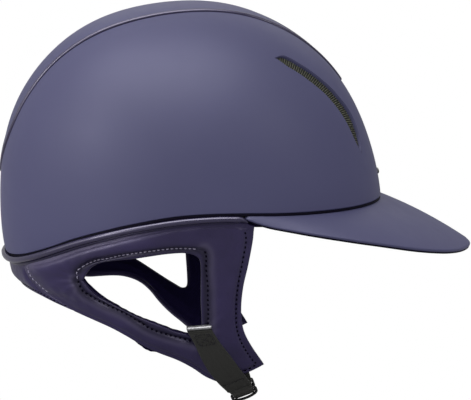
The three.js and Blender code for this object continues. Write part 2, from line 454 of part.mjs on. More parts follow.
// nape panel: from the sliver's tip, along the seam and rim, mirrored across the back
const seamN = SEAM.map(([a, z]) => [a + 0.65, z + 0.15]);
const halfTop = [...even(uv(seamN), 5), ...even(uv([[157.65, -34.2], [164, zAt(164) - 4], [172, zAt(172) - 4], [180, zAt(180) - 4]]), 4).slice(1)];
const halfLow = [...even(uv([[140.55, -63.1], ...NAPE_LOW]), 9)];
function napeGrid(depth, shrink = 0) {
  const rows = [], n = halfTop.length;
  for (let r = 0; r <= 3; r++) {
    const t = lerp(shrink, 1 - shrink, r / 3);
    const right = halfTop.map((p, i) => { const [a, z] = unuv(p.clone().lerp(halfLow[i], t)); return onHarness(a, z, depth); });
    rows.push([...right, ...right.slice(0, -1).reverse().map(flip)]);
  }
  return rows;
}
put('nape_panel', gridSolid(napeGrid(0), napeGrid(LEATHER_T)), LEATHER, 0.35);
{
  const grid = (d, x) => {
    const rows = [];
    for (const t of [0.04, 0.35, 0.65, 0.96]) {
      const row = [];
      for (let a = 158.5; a <= 201.6; a += 4.3) { const b = a > 180 ? 360 - a : a; const q = onHarness(b, lerp(zAt(b) - 5.5, -52.5, t), d + x * (1 - Math.abs(2 * t - 1) ** 3) * (1 - Math.abs((a - 180) / 21.6) ** 3)); row.push(a > 180 ? flip(q) : q); }
      rows.push(row);
    }
    return rows;
  };
  put('nape_pad', gridSolid(grid(4.1, 0), grid(6.8, 4)), 0x0d0b14, 0.95);
}
// gloss piping along the top of the harness
{
  const r = even(PIPE.map(([a, z]) => shellAt(a, z - 0.35, -0.3 - 2 * Math.min(Math.max((a - 125) / 35, 0), 1))), 26);
  put('rim_piping', sweep([...r, ...r.slice(0, -1).reverse().map(flip)], PIPE_R, 8), LEATHER, 0.12);
}
// retention webbing inside the harness
function webStrip(path, w, d0, d1) {
  const c = even(uv(path), 7);
  const side = (s) => c.map((p, i) => {
    const t = c[Math.min(i + 1, 7)].clone().sub(c[Math.max(i - 1, 0)]).normalize();
    return unuv(p.clone().add(V(-t.y, t.x, 0).multiplyScalar(s * w / 2)));
  });
  const L = side(1), R = side(-1);
  return gridSolid([L.map(([a, z]) => onHarness(a, z, d0)), R.map(([a, z]) => onHarness(a, z, d0))], [L.map(([a, z]) => onHarness(a, z, d1)), R.map(([a, z]) => onHarness(a, z, d1))]);
}
const SCREWS = { front: [78, 6.2], rear: [147, -24.2] };
function screw(deg, z, big = 0) {
  const a = onHarness(deg, z, WEB_OUT - 3.2 - big * 2), b = onHarness(deg, z, WEB_IN + 2.2 + big * 2), dir = b.clone().sub(a).normalize();
  if (big) return rod(1.95, a, b, 10);
  const head = onHarness(deg, z, WEB_IN + 1.5), shankEnd = onHarness(deg, z, WEB_OUT - 0.15);
  return join(rod(1.5, shankEnd, head.clone().addScaledVector(dir, 0.4), 10), rod(2.5, head, head.clone().addScaledVector(dir, 1.3), 12));
}
both('retention_web_front', cut(webStrip(WEB_FRONT, 13, WEB_OUT, WEB_IN), screw(...SCREWS.front, 1)), 0x141416, 0.8);
for (const [side, path] of [['right', WEB_REAR], ['left', WEB_REAR_LEFT]]) {
  put(`retention_web_rear_${side}`, oneSide(side, cut(webStrip(path, WEB_REAR_W, WEB_OUT, WEB_IN), screw(...SCREWS.rear, 1))), 0x141416, 0.8);
}
both('harness_screw_front', screw(...SCREWS.front), 0x9a9aa0, 0.3, 1);
both('harness_screw_rear', screw(...SCREWS.rear), 0x9a9aa0, 0.3, 1);

// ---------------------------------------------------------------- comfort pads
const polar = (az, el, depth) => onShell(V(SHELL_C[0] + Math.cos(rad(el)) * Math.cos(rad(az)), Math.cos(rad(el)) * Math.sin(rad(az)), SHELL_C[2] + Math.sin(rad(el))), depth);
function pad(az0, az1, el0, el1, nu, nv, t = PAD_T) {
  const grid = (d, dome) => Array.from({ length: nv + 1 }, (_, r) => Array.from({ length: nu + 1 }, (_, c) => {
    const u = c / nu, v = r / nv, edge = dome ? Math.min(1, 0.45 + 2.2 * Math.min(u, 1 - u) * nu / 4, 0.45 + 1.6 * Math.min(v, 1 - v)) : 0;
    return polar(lerp(az0, az1, u), lerp(el0, el1, v), d + dome * edge);
  }));
  return gridSolid(grid(PAD_IN, 0), grid(PAD_IN, t));
}
const PADC = 0x0f0d18;
put('brow_pad', pad(-52, 52, -5.5, 13, 12, 3), PADC, 0.95);
put('side_pad_right', pad(-116, -60, -4, 22, 7, 4), PADC, 0.95);
put('side_pad_left', pad(60, 116, -4, 22, 7, 4), PADC, 0.95);
put('rear_pad', pad(128, 232, -9, 12, 12, 3), PADC, 0.95);
{
  const cap = (d) => { const g = []; for (let r = 0; r <= 3; r++) g.push(Array.from({ length: 20 }, (_, c) => polar((c / 20) * 360, lerp(50, 90, r / 3), d - (r === 0 && d > 28 ? 2.5 : 0)))); return g; };
  put('crown_pad', gridSolid(cap(PAD_IN + 0.7), cap(PAD_IN + 0.7 + PAD_T), true), PADC, 0.95);
}

// ---------------------------------------------------------------- straps and buckle
const rearEdge = even(uv(STRAP_REAR), 10).map(unuv), frontEdge = even(uv(STRAP_FRONT), 10).map(unuv);
const strapRow = (d, from) => [0, 0.5, 1].map((t) => rearEdge.map(([a, z], i) => onHarness(lerp(a, frontEdge[i][0], t), lerp(z, frontEdge[i][1], t), d)).slice(from));
for (const [side, from] of [['right', 0], ['left', STRAP_LEFT_FROM]]) {
  put(`side_strap_${side}`, oneSide(side, gridSolid(strapRow(-0.5, from), strapRow(-0.5 - STRAP_T, from))), 0x1b1b1b, 0.85);
}
for (const [side, from] of [['right', 0], ['left', STRAP_LEFT_FROM]]) {
  const [ra, rz] = rearEdge[from], [fa, fz] = frontEdge[from];
  const clamp = (d) => [0, 0.5, 1].map((t) => [0.45, 2.9].map((up) => onHarness(lerp(ra - 0.2, fa + 0.2, t), lerp(rz, fz, t) + up, d)));
  put(`strap_clamp_${side}`, oneSide(side, gridSolid(clamp(-0.5), clamp(-3.4))), 0xa0a0a6, 0.35, 1);
}

const tilt = rad(RING_TILT), mv = (w, m) => V(w, Math.sin(tilt) * m, Math.cos(tilt) * m);   // ring plane in (w, y, d)
{
  const pts = [];
  for (let i = 0; i < 5; i++) pts.push(mv(lerp(-RING_HW + 1, RING_HW - 1, i / 4), 0));
  pts.push(mv(RING_HW, 1), mv(RING_HW, 3.6));
  for (let i = 0; i <= 12; i++) { const a = (i / 12) * Math.PI; pts.push(mv(RING_HW * Math.cos(a), 6 + (RING_DEPTH - 6) * Math.sin(a))); }
  pts.push(mv(-RING_HW, 3.6), mv(-RING_HW, 1));
  const frame = sweep(pts, WIRE_R, 8, true), mid = rod(1.1, mv(-RING_HW + 0.2, RING_MID), mv(RING_HW - 0.2, RING_MID), 8);
  put('strap_adjuster', local(join(frame, mid), BAR_C), 0x0c0c0e, 0.4);
}
// receiver half of the buckle, hung on the left side strap
const LY = -BAR_C[1];                                      // level of the left bar along Y
const R0Y = LY - 30, R1Y = LY - 5;                         // receiver base along Y
{
  const base = box(-11, 11, R0Y - LY, R1Y - LY, 0.2, 2.4);
  const arms = [box(-11.4, -9.4, R1Y - LY - 3, 1.3, -1.25, 2.4), box(9.4, 11.4, R1Y - LY - 3, 1.3, -1.25, 2.4)];
  const bar = rod(WIRE_R, V(-10.5, 0, 0), V(10.5, 0, 0), 10);
  const stem = box(-9, 9, -19.3, -16.7, 2.2, 4.2), head = box(-9, 9, -20.8, -15.2, 4.0, 5.4);
  let g = join(base, ...arms, bar, stem, head);
  g = cut(g, rod(3.2, V(0, -26, -1), V(0, -26, 1.6), 16));
  put('buckle_receiver', local(g, [BAR_C[0], LY, BAR_C[2]]), 0x101012, 0.45);
  put('receiver_magnet', local(rod(2.9, V(0, -26, 0.3), V(0, -26, 1.3), 14), [BAR_C[0], LY, BAR_C[2]]), 0x8d8d92, 0.3, 1);
}
// closing half, slid onto the receiver's rail; the chin strap is sewn round its bar
{
  let g = box(-9.2, 9.2, -31, -9.5, 2.75, 7.2);
  g = cut(g, box(-12, 12, -19.7, -16.3, 2, 4.2), box(-12, 12, -21.2, -14.8, 3.7, 5.75), rod(3.2, V(0, -26, 5.2), V(0, -26, 9), 16));
  g = join(g, box(-9.2, -7.6, -37.2, -30.2, 2.75, 5.2), box(7.6, 9.2, -37.2, -30.2, 2.75, 5.2), rod(1.2, V(-8.4, -36, 3.95), V(8.4, -36, 3.95), 10));
  put('buckle_plate', local(g, [BAR_C[0], LY, BAR_C[2]]), 0x101012, 0.45);
  put('plate_magnet', local(rod(2.9, V(0, -26, 5.5), V(0, -26, 6.9), 14), [BAR_C[0], LY, BAR_C[2]]), 0x8d8d92, 0.3, 1);
}
// chin strap webbing under the chin, doubled back at both ends
{
  const y0 = Math.sin(tilt) * RING_MID + 1.6, y1 = 2 * LY - 36 - 1.7;
  put('chin_strap', local(box(-STRAP_W / 2, STRAP_W / 2, y0, y1, STRAP_LEVEL - 1.2, STRAP_LEVEL + 1.2), BAR_C), 0x1b1b1b, 0.85);
  const k = cut(box(-9.4, 9.4, 24, 32, STRAP_LEVEL - 3.1, STRAP_LEVEL + 3.1), box(-7.8, 7.8, 20, 36, STRAP_LEVEL - 1.7, STRAP_LEVEL + 1.7));
  put('strap_keeper', local(k, BAR_C), 0x0e0e10, 0.6);
}

export default helmet;
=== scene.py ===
import bpy
import math
import numpy as np
from mathutils import Vector, Matrix


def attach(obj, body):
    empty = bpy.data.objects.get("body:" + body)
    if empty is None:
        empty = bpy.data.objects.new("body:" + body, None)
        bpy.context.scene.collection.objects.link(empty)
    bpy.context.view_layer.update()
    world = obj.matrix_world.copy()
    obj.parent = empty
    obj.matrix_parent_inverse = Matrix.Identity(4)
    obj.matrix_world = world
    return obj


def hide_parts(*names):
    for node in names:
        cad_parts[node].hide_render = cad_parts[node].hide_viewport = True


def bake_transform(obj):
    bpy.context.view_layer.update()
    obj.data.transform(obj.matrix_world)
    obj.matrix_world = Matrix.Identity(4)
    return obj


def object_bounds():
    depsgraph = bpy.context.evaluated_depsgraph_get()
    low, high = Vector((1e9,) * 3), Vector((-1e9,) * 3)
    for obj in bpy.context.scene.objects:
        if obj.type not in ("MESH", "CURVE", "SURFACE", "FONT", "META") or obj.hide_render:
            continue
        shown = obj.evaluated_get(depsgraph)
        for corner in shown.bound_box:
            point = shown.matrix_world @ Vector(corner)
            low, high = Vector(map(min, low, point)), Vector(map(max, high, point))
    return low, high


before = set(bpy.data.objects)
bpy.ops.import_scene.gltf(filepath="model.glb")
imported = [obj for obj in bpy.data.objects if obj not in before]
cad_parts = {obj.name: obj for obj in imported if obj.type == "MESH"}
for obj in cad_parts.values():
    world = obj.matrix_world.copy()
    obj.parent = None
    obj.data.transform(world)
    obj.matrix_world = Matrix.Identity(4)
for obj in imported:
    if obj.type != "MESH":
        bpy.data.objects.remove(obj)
for name in ("Cube", "Light", "Camera"):
    if bpy.data.objects.get(name): bpy.data.objects.remove(bpy.data.objects[name], do_unlink=True)
CAD_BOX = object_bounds()
MM = 0.001
rng = np.random.RandomState(7)

# ------------------------------------------------------------------ form of the helmet (millimetres)
SHELL_C = np.array([-6.0, 0.0, 22.0]); SHELL_B = 107.0; SHELL_N = 2.2
SHELL_R = [129.4452, 3.1018, -1.9496, 7.0658, 0.6655, 2.0922, -3.6129, -0.8415, -0.8313, 1.2871, -1.9554, -1.6871, -1.2911, -0.7259, 0.7708]
HX, HN = -4.0, 2.2
HARN = np.array([[10, 104, 128, 128], [-10, 101.5, 130, 126], [-30, 99, 128, 124], [-45, 96.5, 124, 122], [-55, 94, 117, 120],
                 [-65, 91.5, 111, 118], [-80, 86.5, 101, 116], [-95, 80.5, 92, 114], [-110, 73.5, 84, 112], [-125, 66, 78, 110], [-140, 58, 72, 108]], float)
RIM = np.array([[-133.5, 0, -29.4], [-131.5, -10, -29.6], [-129.7, -22.7, -29.8], [-126.3, -35.5, -29.0], [-118.6, -52.8, -26.0],
  [-107.9, -68, -21], [-97.4, -78.3, -16.1], [-89.7, -84.4, -12.3], [-81.9, -89.3, -9.0], [-71.7, -94.5, -5.4], [-61.5, -98.5, -2.3],
  [-52.9, -101.1, 0.2], [-33.4, -105, 4.6], [-21.5, -106.1, 6.7], [-9.5, -106.6, 8.1], [0, -106.5, 8.7], [14, -106, 9.0],
  [32.7, -104, 8.8], [53.2, -99.5, 7.9], [69.4, -94, 7.4], [85.9, -85.9, 7.1], [98.7, -77.3, 6.9], [108, -69.2, 6.8],
  [118.2, -57.4, 6.8], [125.7, -45.3, 6.8], [130, -35.6, 6.8], [133.2, -25.3, 6.8], [134.6, -12, 6.8], [135, 0, 6.8]], float)
CROWN = np.array([[-134, 0, 26], [-133, -6.5, 32], [-132, -12.5, 38.5], [-130.4, -18, 45], [-127.5, -23, 53], [-124, -26.6, 62], [-118, -29.4, 76],
  [-108, -31.2, 91], [-98, -32.4, 104], [-90.6, -33.2, 110.5], [-76.5, -34.6, 119.6], [-62, -35.5, 126.4], [-45, -35.9, 132.7],
  [-34, -35.7, 135.7], [-22, -35.1, 138.5], [-8, -34, 140], [7, -32.4, 140], [19, -30.6, 139], [31, -28.3, 137.4], [42.5, -25.6, 134.7],
  [54.5, -22.3, 130.6], [66.4, -18.5, 124.7], [76, -15, 118.5], [84, -11.7, 112], [92, -8, 104.5], [99, -4.2, 96], [105, 0, 87]], float)
VENT_F = np.array([[54.3, -63.7, 109.8], [57.9, -59.6, 111.2], [61.4, -57, 110.9], [66.9, -55.5, 108.3], [73.6, -54.1, 104.1], [80.5, -52.1, 99.5],
  [88.1, -49.8, 93.6], [95.1, -47.2, 87.3], [101.4, -45, 80.3], [107.2, -42.6, 73.3], [110.9, -41.6, 67.7], [113.6, -41.8, 61.7],
  [116, -43.2, 54.4], [116.9, -45.6, 47.6], [116.4, -49.6, 41.2]], float)
VENT_R = np.array([[54.3, -63.7, 109.8], [58.5, -64, 106.9], [63.4, -63.8, 103.6], [68.8, -62.7, 100.5], [77.6, -61, 94.3], [83.7, -59.5, 89.5],
  [89.2, -57.9, 84.9], [93.3, -56.7, 80.4], [97.5, -55.6, 75.6], [101.7, -54.5, 70.1], [105.1, -53.7, 64.6], [107.8, -53.1, 58.6],
  [110.7, -52.6, 52.5], [113.5, -51.7, 46.4], [116.4, -49.6, 41.2]], float)
PEAK_EDGE = np.array([[32.2, -105.3, 5.6], [40, -105.4, 2.3], [49.5, -105.5, -0.4], [60, -105.6, -2.4], [74, -105.7, -4.9], [88, -105, -7.3], [101.1, -103.4, -9.6],
  [113, -101, -11.8], [123.8, -98.1, -13.8], [134, -94.5, -15.9], [143.9, -90.1, -18.1], [153, -85, -20.1], [160.9, -79.5, -21.8],
  [168, -73.5, -23.3], [174.6, -67, -24.7], [180.5, -60, -25.8], [185.7, -52.6, -26.7], [190, -45, -27.4], [193.6, -37.5, -27.9],
  [196.5, -30, -28.3], [198.8, -22.5, -28.6], [200.3, -15, -28.8], [201.1, -7.5, -28.9], [201.3, 0, -29.0]], float)
PEAK_ROOT = 71.0
SEAM = [[140.1, -63.2], [144.6, -58.0], [150.5, -52.9], [153.7, -47.1], [155.2, -43.6], [156.1, -37.7], [157.2, -34.4]]
ARM_FRONT = [[66.8, -0.5], [66.95, -4], [67.05, -10.2], [68.3, -28], [69.57, -42.5], [69.69, -53.3], [69.1, -63.9], [67.5, -73.9], [65.2, -81.1], [60.84, -90.7], [53.9, -103.1]]
TAB_END = [[53.9, -103.1], [59.3, -107.7], [66.5, -111.8], [74.3, -115.5]]
LOWER_EDGE = [[74.3, -115.5], [82.4, -110.2], [89, -103.6], [96.6, -97.2], [106.8, -90.7], [114.5, -84.2], [119.6, -78.9], [125.4, -73.5], [132.4, -68.5], [139.2, -64.0]]
EAR_TOP = [[131.9, -39.3], [130.4, -34.5], [128.1, -29.8], [124.7, -26.3], [119.7, -24.3], [113.2, -22.9], [106.5, -20.8], [99.8, -19], [93, -18.4], [89.6, -19.7], [87.5, -21.8]]
EAR_FRONT = [[87.5, -21.8], [86.9, -26], [86.7, -37.7], [86.5, -52.4], [85.9, -65.9], [85.6, -75]]
EAR_CORNER = [[85.6, -75], [86.2, -78.2], [88.6, -78.8]]
EAR_LOW = [[88.6, -78.8], [92.4, -77.3], [98.5, -74.5], [102.7, -71.4], [108.1, -67.8], [113.4, -64.1], [118.5, -59.6], [123.4, -55.1], [128, -50.3], [130.0, -46.0], [131.9, -39.9]]
EAR_LOW_LEFT = [[88.6, -78.8], [91.5, -76.0], [95.3, -72.5], [98.6, -69.0], [102.4, -64.8], [106.1, -60.5], [110, -56.2], [114.5, -52.3], [119.5, -49.3], [124.5, -47.4], [128.5, -45.8], [130.4, -43.8], [131.9, -39.9]]
LOWER_EDGE_LEFT = [[74.3, -115.3], [80.2, -111.2], [85.7, -106.3], [89.6, -102.2], [93.9, -97.6], [97.6, -92.7], [101, -87], [104.2, -80.4], [107.8, -74.9], [111.7, -71.3], [116.5, -68.8], [121.5, -67.8], [127, -67.5], [133, -66.9], [139.2, -64.3]]
PIPE = [[70.4, 2.9], [71.2, 4.4], [72.6, 5.9], [75, 6.6], [80.2, 6.9], [87.8, 6.4], [93, 5.7], [99.5, 4.2], [106, 2.1], [112.5, -0.4], [116.4, -2.3],
        [121, -4.7], [126.4, -7.9], [132, -11.6], [137.9, -16.1], [144, -20.8], [151.2, -25.8], [160.4, -30.3], [167, -31.6], [173, -31.7], [180, -31.5]]
NAPE_LOW = [[140.9, -62.9], [143.5, -61.5], [146.8, -59.9], [150.5, -58.1], [154.5, -56.4], [160, -55.2], [168, -54.4], [180, -54]]
STRAP_REAR = [[92.24, -73.2], [89.14, -82.0], [85.65, -93.2], [81.85, -102.6], [75.27, -113.7], [69.3, -121.0]]
STRAP_FRONT = [[81.69, -72.2], [77.24, -82.4], [71.98, -92.2], [65.9, -103.0], [58.6, -114.8]]
BAR_C = np.array([32.9, -66.2, -122.4]); WD = np.array([0.938, 0, 0.347]); WD = WD / np.linalg.norm(WD)
DD = np.array([0.347, 0, -0.938]); DD = DD / np.linalg.norm(DD); YD = np.array([0, 1.0, 0])
RING_HW, RING_DEPTH, RING_MID, RING_TILT, STRAP_LEVEL, STRAP_W = 8.75, 11.5, 5.0, math.radians(50), 3.4, 14.2

# ------------------------------------------------------------------ maths
def pchip(x, y):
    x = np.asarray(x, float); y = np.asarray(y, float); h = np.diff(x); s = np.diff(y) / h; m = np.zeros(len(x))
    for i in range(1, len(x) - 1):
        if s[i - 1] * s[i] > 0:
            a, b = 2 * h[i] + h[i - 1], h[i] + 2 * h[i - 1]; m[i] = (a + b) / (a / s[i - 1] + b / s[i])
    def end(h0, h1, s0, s1):
        d = ((2 * h0 + h1) * s0 - h0 * s1) / (h0 + h1)
        return 0.0 if d * s0 <= 0 else (3 * s0 if s0 * s1 <= 0 and abs(d) > 3 * abs(s0) else d)
    m[0] = end(h[0], h[1], s[0], s[1]); m[-1] = end(h[-1], h[-2], s[-1], s[-2])
    def f(q):
        q = np.clip(np.asarray(q, float), x[0], x[-1]); i = np.clip(np.searchsorted(x, q) - 1, 0, len(x) - 2)
        t = (q - x[i]) / h[i]; t2, t3 = t * t, t * t * t
        return (2 * t3 - 3 * t2 + 1) * y[i] + (t3 - 2 * t2 + t) * h[i] * m[i] + (-2 * t3 + 3 * t2) * y[i + 1] + (t3 - t2) * h[i] * m[i + 1]
    return f

def smooth_line(P, per=14):
    """Centripetal Catmull-Rom through the points."""
    P = np.asarray(P, float); n = len(P); out = []
    E = np.vstack([2 * P[0] - P[1], P, 2 * P[-1] - P[-2]])
    for i in range(n - 1):
        p0, p1, p2, p3 = E[i], E[i + 1], E[i + 2], E[i + 3]
        d = [max(np.linalg.norm(b - a), 1e-6) ** 0.5 for a, b in ((p0, p1), (p1, p2), (p2, p3))]
        t0 = 0.0; t1 = d[0]; t2 = t1 + d[1]; t3 = t2 + d[2]
        for t in np.linspace(t1, t2, per, endpoint=False):
            a1 = (t1 - t) / (t1 - t0) * p0 + (t - t0) / (t1 - t0) * p1; a2 = (t2 - t) / (t2 - t1) * p1 + (t - t1) / (t2 - t1) * p2
            a3 = (t3 - t) / (t3 - t2) * p2 + (t - t2) / (t3 - t2) * p3
            b1 = (t2 - t) / (t2 - t0) * a1 + (t - t0) / (t2 - t0) * a2; b2 = (t3 - t) / (t3 - t1) * a2 + (t - t1) / (t3 - t1) * a3
            out.append((t2 - t) / (t2 - t1) * b1 + (t - t1) / (t2 - t1) * b2)
    out.append(P[-1]); return np.array(out)

def even(P, n, smooth=True):
    Q = smooth_line(P) if smooth else np.asarray(P, float)
    L = np.r_[0, np.cumsum(np.linalg.norm(np.diff(Q, axis=0), axis=1))]
    t = np.linspace(0, L[-1], n + 1)
    return np.stack([np.interp(t, L, Q[:, k]) for k in range(Q.shape[1])], 1)

def uv(l): return np.array([[a * 1.6, z] for a, z in l], float)
def flip(P): return np.asarray(P) * np.array([1.0, -1.0, 1.0])
def unit(v): return v / np.maximum(np.linalg.norm(v, axis=-1, keepdims=True), 1e-12)
def sstep(x, a, b): t = np.clip((x - a) / (b - a), 0, 1); return t * t * (3 - 2 * t)

def shell_r0(a):
    r = np.full(np.shape(a), SHELL_R[0])
    for k in range(1, 8): r = r + SHELL_R[2 * k - 1] * np.cos(k * a) + SHELL_R[2 * k] * np.sin(k * a)
    return r
def on_shell(P, depth=0.0):
    q = np.asarray(P, float) - SHELL_C; rho = np.hypot(q[..., 0], q[..., 2]); L = np.maximum(np.hypot(rho, q[..., 1]), 1e-9)
    a = np.arctan2(q[..., 2], q[..., 0])
    r = ((rho / L / (shell_r0(a) - depth)) ** SHELL_N + (np.abs(q[..., 1]) / L / (SHELL_B - depth)) ** SHELL_N) ** (-1 / SHELL_N)
    return SHELL_C + q / L[..., None] * r[..., None]
def shell_f(P):
    q = P - SHELL_C; rho = np.hypot(q[..., 0], q[..., 2]); a = np.arctan2(q[..., 2], q[..., 0])
    return (rho / shell_r0(a)) ** SHELL_N + (np.abs(q[..., 1]) / SHELL_B) ** SHELL_N
def shell_normal(P):
    P = np.asarray(P, float); e = 0.05
    g = np.stack([shell_f(P + np.eye(3)[k] * e) - shell_f(P - np.eye(3)[k] * e) for k in range(3)], -1)
    return unit(g)
def shell_off(P, depth):
    """Point on the shell surface moved in along the true normal."""
    Q = on_shell(P, 0); return Q - shell_normal(Q) * np.asarray(depth, float)[..., None] if np.ndim(depth) else Q - shell_normal(Q) * depth
def shell_at(deg, z, depth=0.0):
    c, s = np.cos(np.radians(deg)), -np.sin(np.radians(deg)); deg, z = np.broadcast_arrays(np.asarray(deg, float), np.asarray(z, float))
    lo = np.full(deg.shape, 20.0); hi = np.full(deg.shape, 260.0)
    for _ in range(40):
        m = (lo + hi) / 2; P = np.stack([HX + m * c, m * s, z + 0 * m], -1); F = on_shell(P, depth)
        inside = np.linalg.norm(P - SHELL_C, axis=-1) < np.linalg.norm(F - SHELL_C, axis=-1)
        lo = np.where(inside, m, lo); hi = np.where(inside, hi, m)
    return np.stack([HX + lo * c, lo * s, z + 0 * lo], -1)
_o = np.argsort(HARN[:, 0]); hb, hr, hf = (pchip(HARN[_o, 0], HARN[_o, k]) for k in (1, 2, 3))
def on_harness(deg, z, depth=0.0):
    deg = np.asarray(deg, float); z = np.asarray(z, float); c, s = np.cos(np.radians(deg)), np.sin(np.radians(deg)); zz = np.clip(z, -140, 10)
    w = sstep(c, -0.12, 0.12); a = hr(zz) * (1 - w) + hf(zz) * w - depth; b = hb(zz) - depth
    r = ((np.abs(c) / a) ** HN + (np.abs(s) / b) ** HN) ** (-1 / HN)
    return np.stack([HX + r * c, -r * s, z + 0 * r], -1)
def harness_normal(deg, z):
    a = on_harness(np.asarray(deg) + 0.15, z) - on_harness(np.asarray(deg) - 0.15, z); b = on_harness(deg, np.asarray(z) + 0.2) - on_harness(deg, np.asarray(z) - 0.2)
    n = unit(np.cross(a, b)); c = np.stack([np.cos(np.radians(deg)), -np.sin(np.radians(deg)), 0 * np.asarray(z)], -1)
    return n * np.sign(np.sum(n * c, -1, keepdims=True))
rim_deg = np.degrees(np.arctan2(np.abs(RIM[:, 1]), RIM[:, 0] - HX))[::-1]
z_rim = pchip(rim_deg, RIM[::-1, 2])

def half_loop(P, n, project=True):
    h = even(P, n); h = on_shell(h) if project else h
    return np.vstack([h, flip(h[1:-1][::-1])])
def nearest(P, Q):
    """Distance from each point of P to the nearest of Q."""
    P = P.reshape(-1, 3); out = np.empty(len(P))
    for i in range(0, len(P), 4000):
        out[i:i + 4000] = np.sqrt(((P[i:i + 4000, None, :] - Q[None]) ** 2).sum(-1)).min(1)
    return out
def noise3(P, scale, seed=0):
    """Smooth value made of a few waves, about -1 to 1."""
    r = np.random.RandomState(seed); v = np.zeros(P.shape[:-1])
    for _ in range(7):
        k = r.randn(3); k = k / np.linalg.norm(k) * (2 * math.pi / scale) * r.uniform(0.6, 1.6); v = v + np.sin(P @ k + r.uniform(0, 6.28))
    return v / 3.5

# ------------------------------------------------------------------ meshes
def mesh_obj(name, V, F, smooth=True, angle=None, merge=0.0):
    me = bpy.data.meshes.new(name); me.from_pydata((np.asarray(V) * MM).tolist(), [], [list(map(int, f)) for f in F]); me.validate(); me.update()
    import bmesh
    bm = bmesh.new(); bm.from_mesh(me)
    bmesh.ops.remove_doubles(bm, verts=bm.verts, dist=max(merge, 0.0005) * MM)
    bmesh.ops.dissolve_degenerate(bm, edges=bm.edges, dist=1e-7)
    bmesh.ops.recalc_face_normals(bm, faces=bm.faces); bm.to_mesh(me); bm.free()
    if smooth: me.polygons.foreach_set("use_smooth", [True] * len(me.polygons))
    if angle: me.set_sharp_from_angle(angle=math.radians(angle))
    ob = bpy.data.objects.new(name, me); bpy.context.scene.collection.objects.link(ob); return ob

def slab(name, A, B, wrap=False, **k):
    """Closed body between two matching grids [row, column, 3]."""
    R, C = A.shape[:2]; V = np.vstack([A.reshape(-1, 3), B.reshape(-1, 3)]); ia = lambda r, c: r * C + c % C; ib = lambda r, c: R * C + r * C + c % C
    F = []; cols = C if wrap else C - 1
    for r in range(R - 1):
        for c in range(cols):
            F.append((ia(r, c), ia(r, c + 1), ia(r + 1, c + 1), ia(r + 1, c))); F.append((ib(r, c), ib(r + 1, c), ib(r + 1, c + 1), ib(r, c + 1)))
    for c in range(cols):
        F.append((ia(0, c), ib(0, c), ib(0, c + 1), ia(0, c + 1))); F.append((ia(R - 1, c), ia(R - 1, c + 1), ib(R - 1, c + 1), ib(R - 1, c)))
    if not wrap:
        for r in range(R - 1):
            F.append((ia(r, 0), ia(r + 1, 0), ib(r + 1, 0), ib(r, 0))); F.append((ia(r, C - 1), ib(r, C - 1), ib(r + 1, C - 1), ia(r + 1, C - 1)))
    return mesh_obj(name, V, F, **k)

def tube_grid(P, sec, closed=False, up=None):
    """Section sec [k, 2] carried along P; up is the direction of the section's first axis at each point."""
    P = np.asarray(P, float); n = len(P)
    T = unit(np.roll(P, -1, 0) - np.roll(P, 1, 0)) if closed else unit(np.vstack([P[1] - P[0], P[2:] - P[:-2], P[-1] - P[-2]]))
    if up is None:
        u = np.array([0, 0, 1.0]) if abs(T[0, 2]) < 0.9 else np.array([1.0, 0, 0]); U = []
        for i in range(n): u = u - T[i] * (u @ T[i]); u = u / np.linalg.norm(u); U.append(u)
        U = np.array(U)
        if closed:
            e = U[-1] - T[0] * (U[-1] @ T[0]); e /= np.linalg.norm(e); tw = math.atan2(np.cross(e, U[0]) @ T[0], e @ U[0])
            a = tw * np.arange(n) / n; W0 = np.cross(T, U); U = U * np.cos(a)[:, None] + W0 * np.sin(a)[:, None]
    else:
        U = np.asarray(up, float); U = unit(U - T * np.sum(U * T, -1, keepdims=True))
    Wv = np.cross(T, U); sec = np.asarray(sec, float)
    if sec.ndim == 2: sec = np.broadcast_to(sec, (n,) + sec.shape)
    return P[:, None] + U[:, None] * sec[..., 0:1] + Wv[:, None] * sec[..., 1:2]
def tube(name, P, sec, closed=False, up=None, round_ends=0.0, **k):
    G = tube_grid(P, sec, closed, up); n, m = G.shape[:2]
    V = G.reshape(-1, 3); F = []
    for i in range(n if closed else n - 1):
        for j in range(m): F.append((i * m + j, i * m + (j + 1) % m, ((i + 1) % n) * m + (j + 1) % m, ((i + 1) % n) * m + j))
    if not closed: F.append(tuple(range(m))[::-1]); F.append(tuple((n - 1) * m + j for j in range(m)))
    return mesh_obj(name, V, F, **k)
def circle(r, k, flat=1.0): a = np.linspace(0, 2 * math.pi, k, endpoint=False); return np.stack([r * np.cos(a), r * flat * np.sin(a)], 1)

def end_rows(T, r, L, nmid, ease=1.0):
    """Rows for a slab with rounded long edges: share of the way, depth out, depth in."""
    th = np.radians([0, 22, 45, 68, 90]); s = r * (1 - np.cos(th)); d = r * (1 - np.sin(th))
    mid = np.linspace(r, L - r, nmid + 2)[1:-1]
    S = np.r_[s, mid, (L - s)[::-1]]; D = np.r_[d, np.zeros(nmid), d[::-1]]
    return S / L, D, T - D

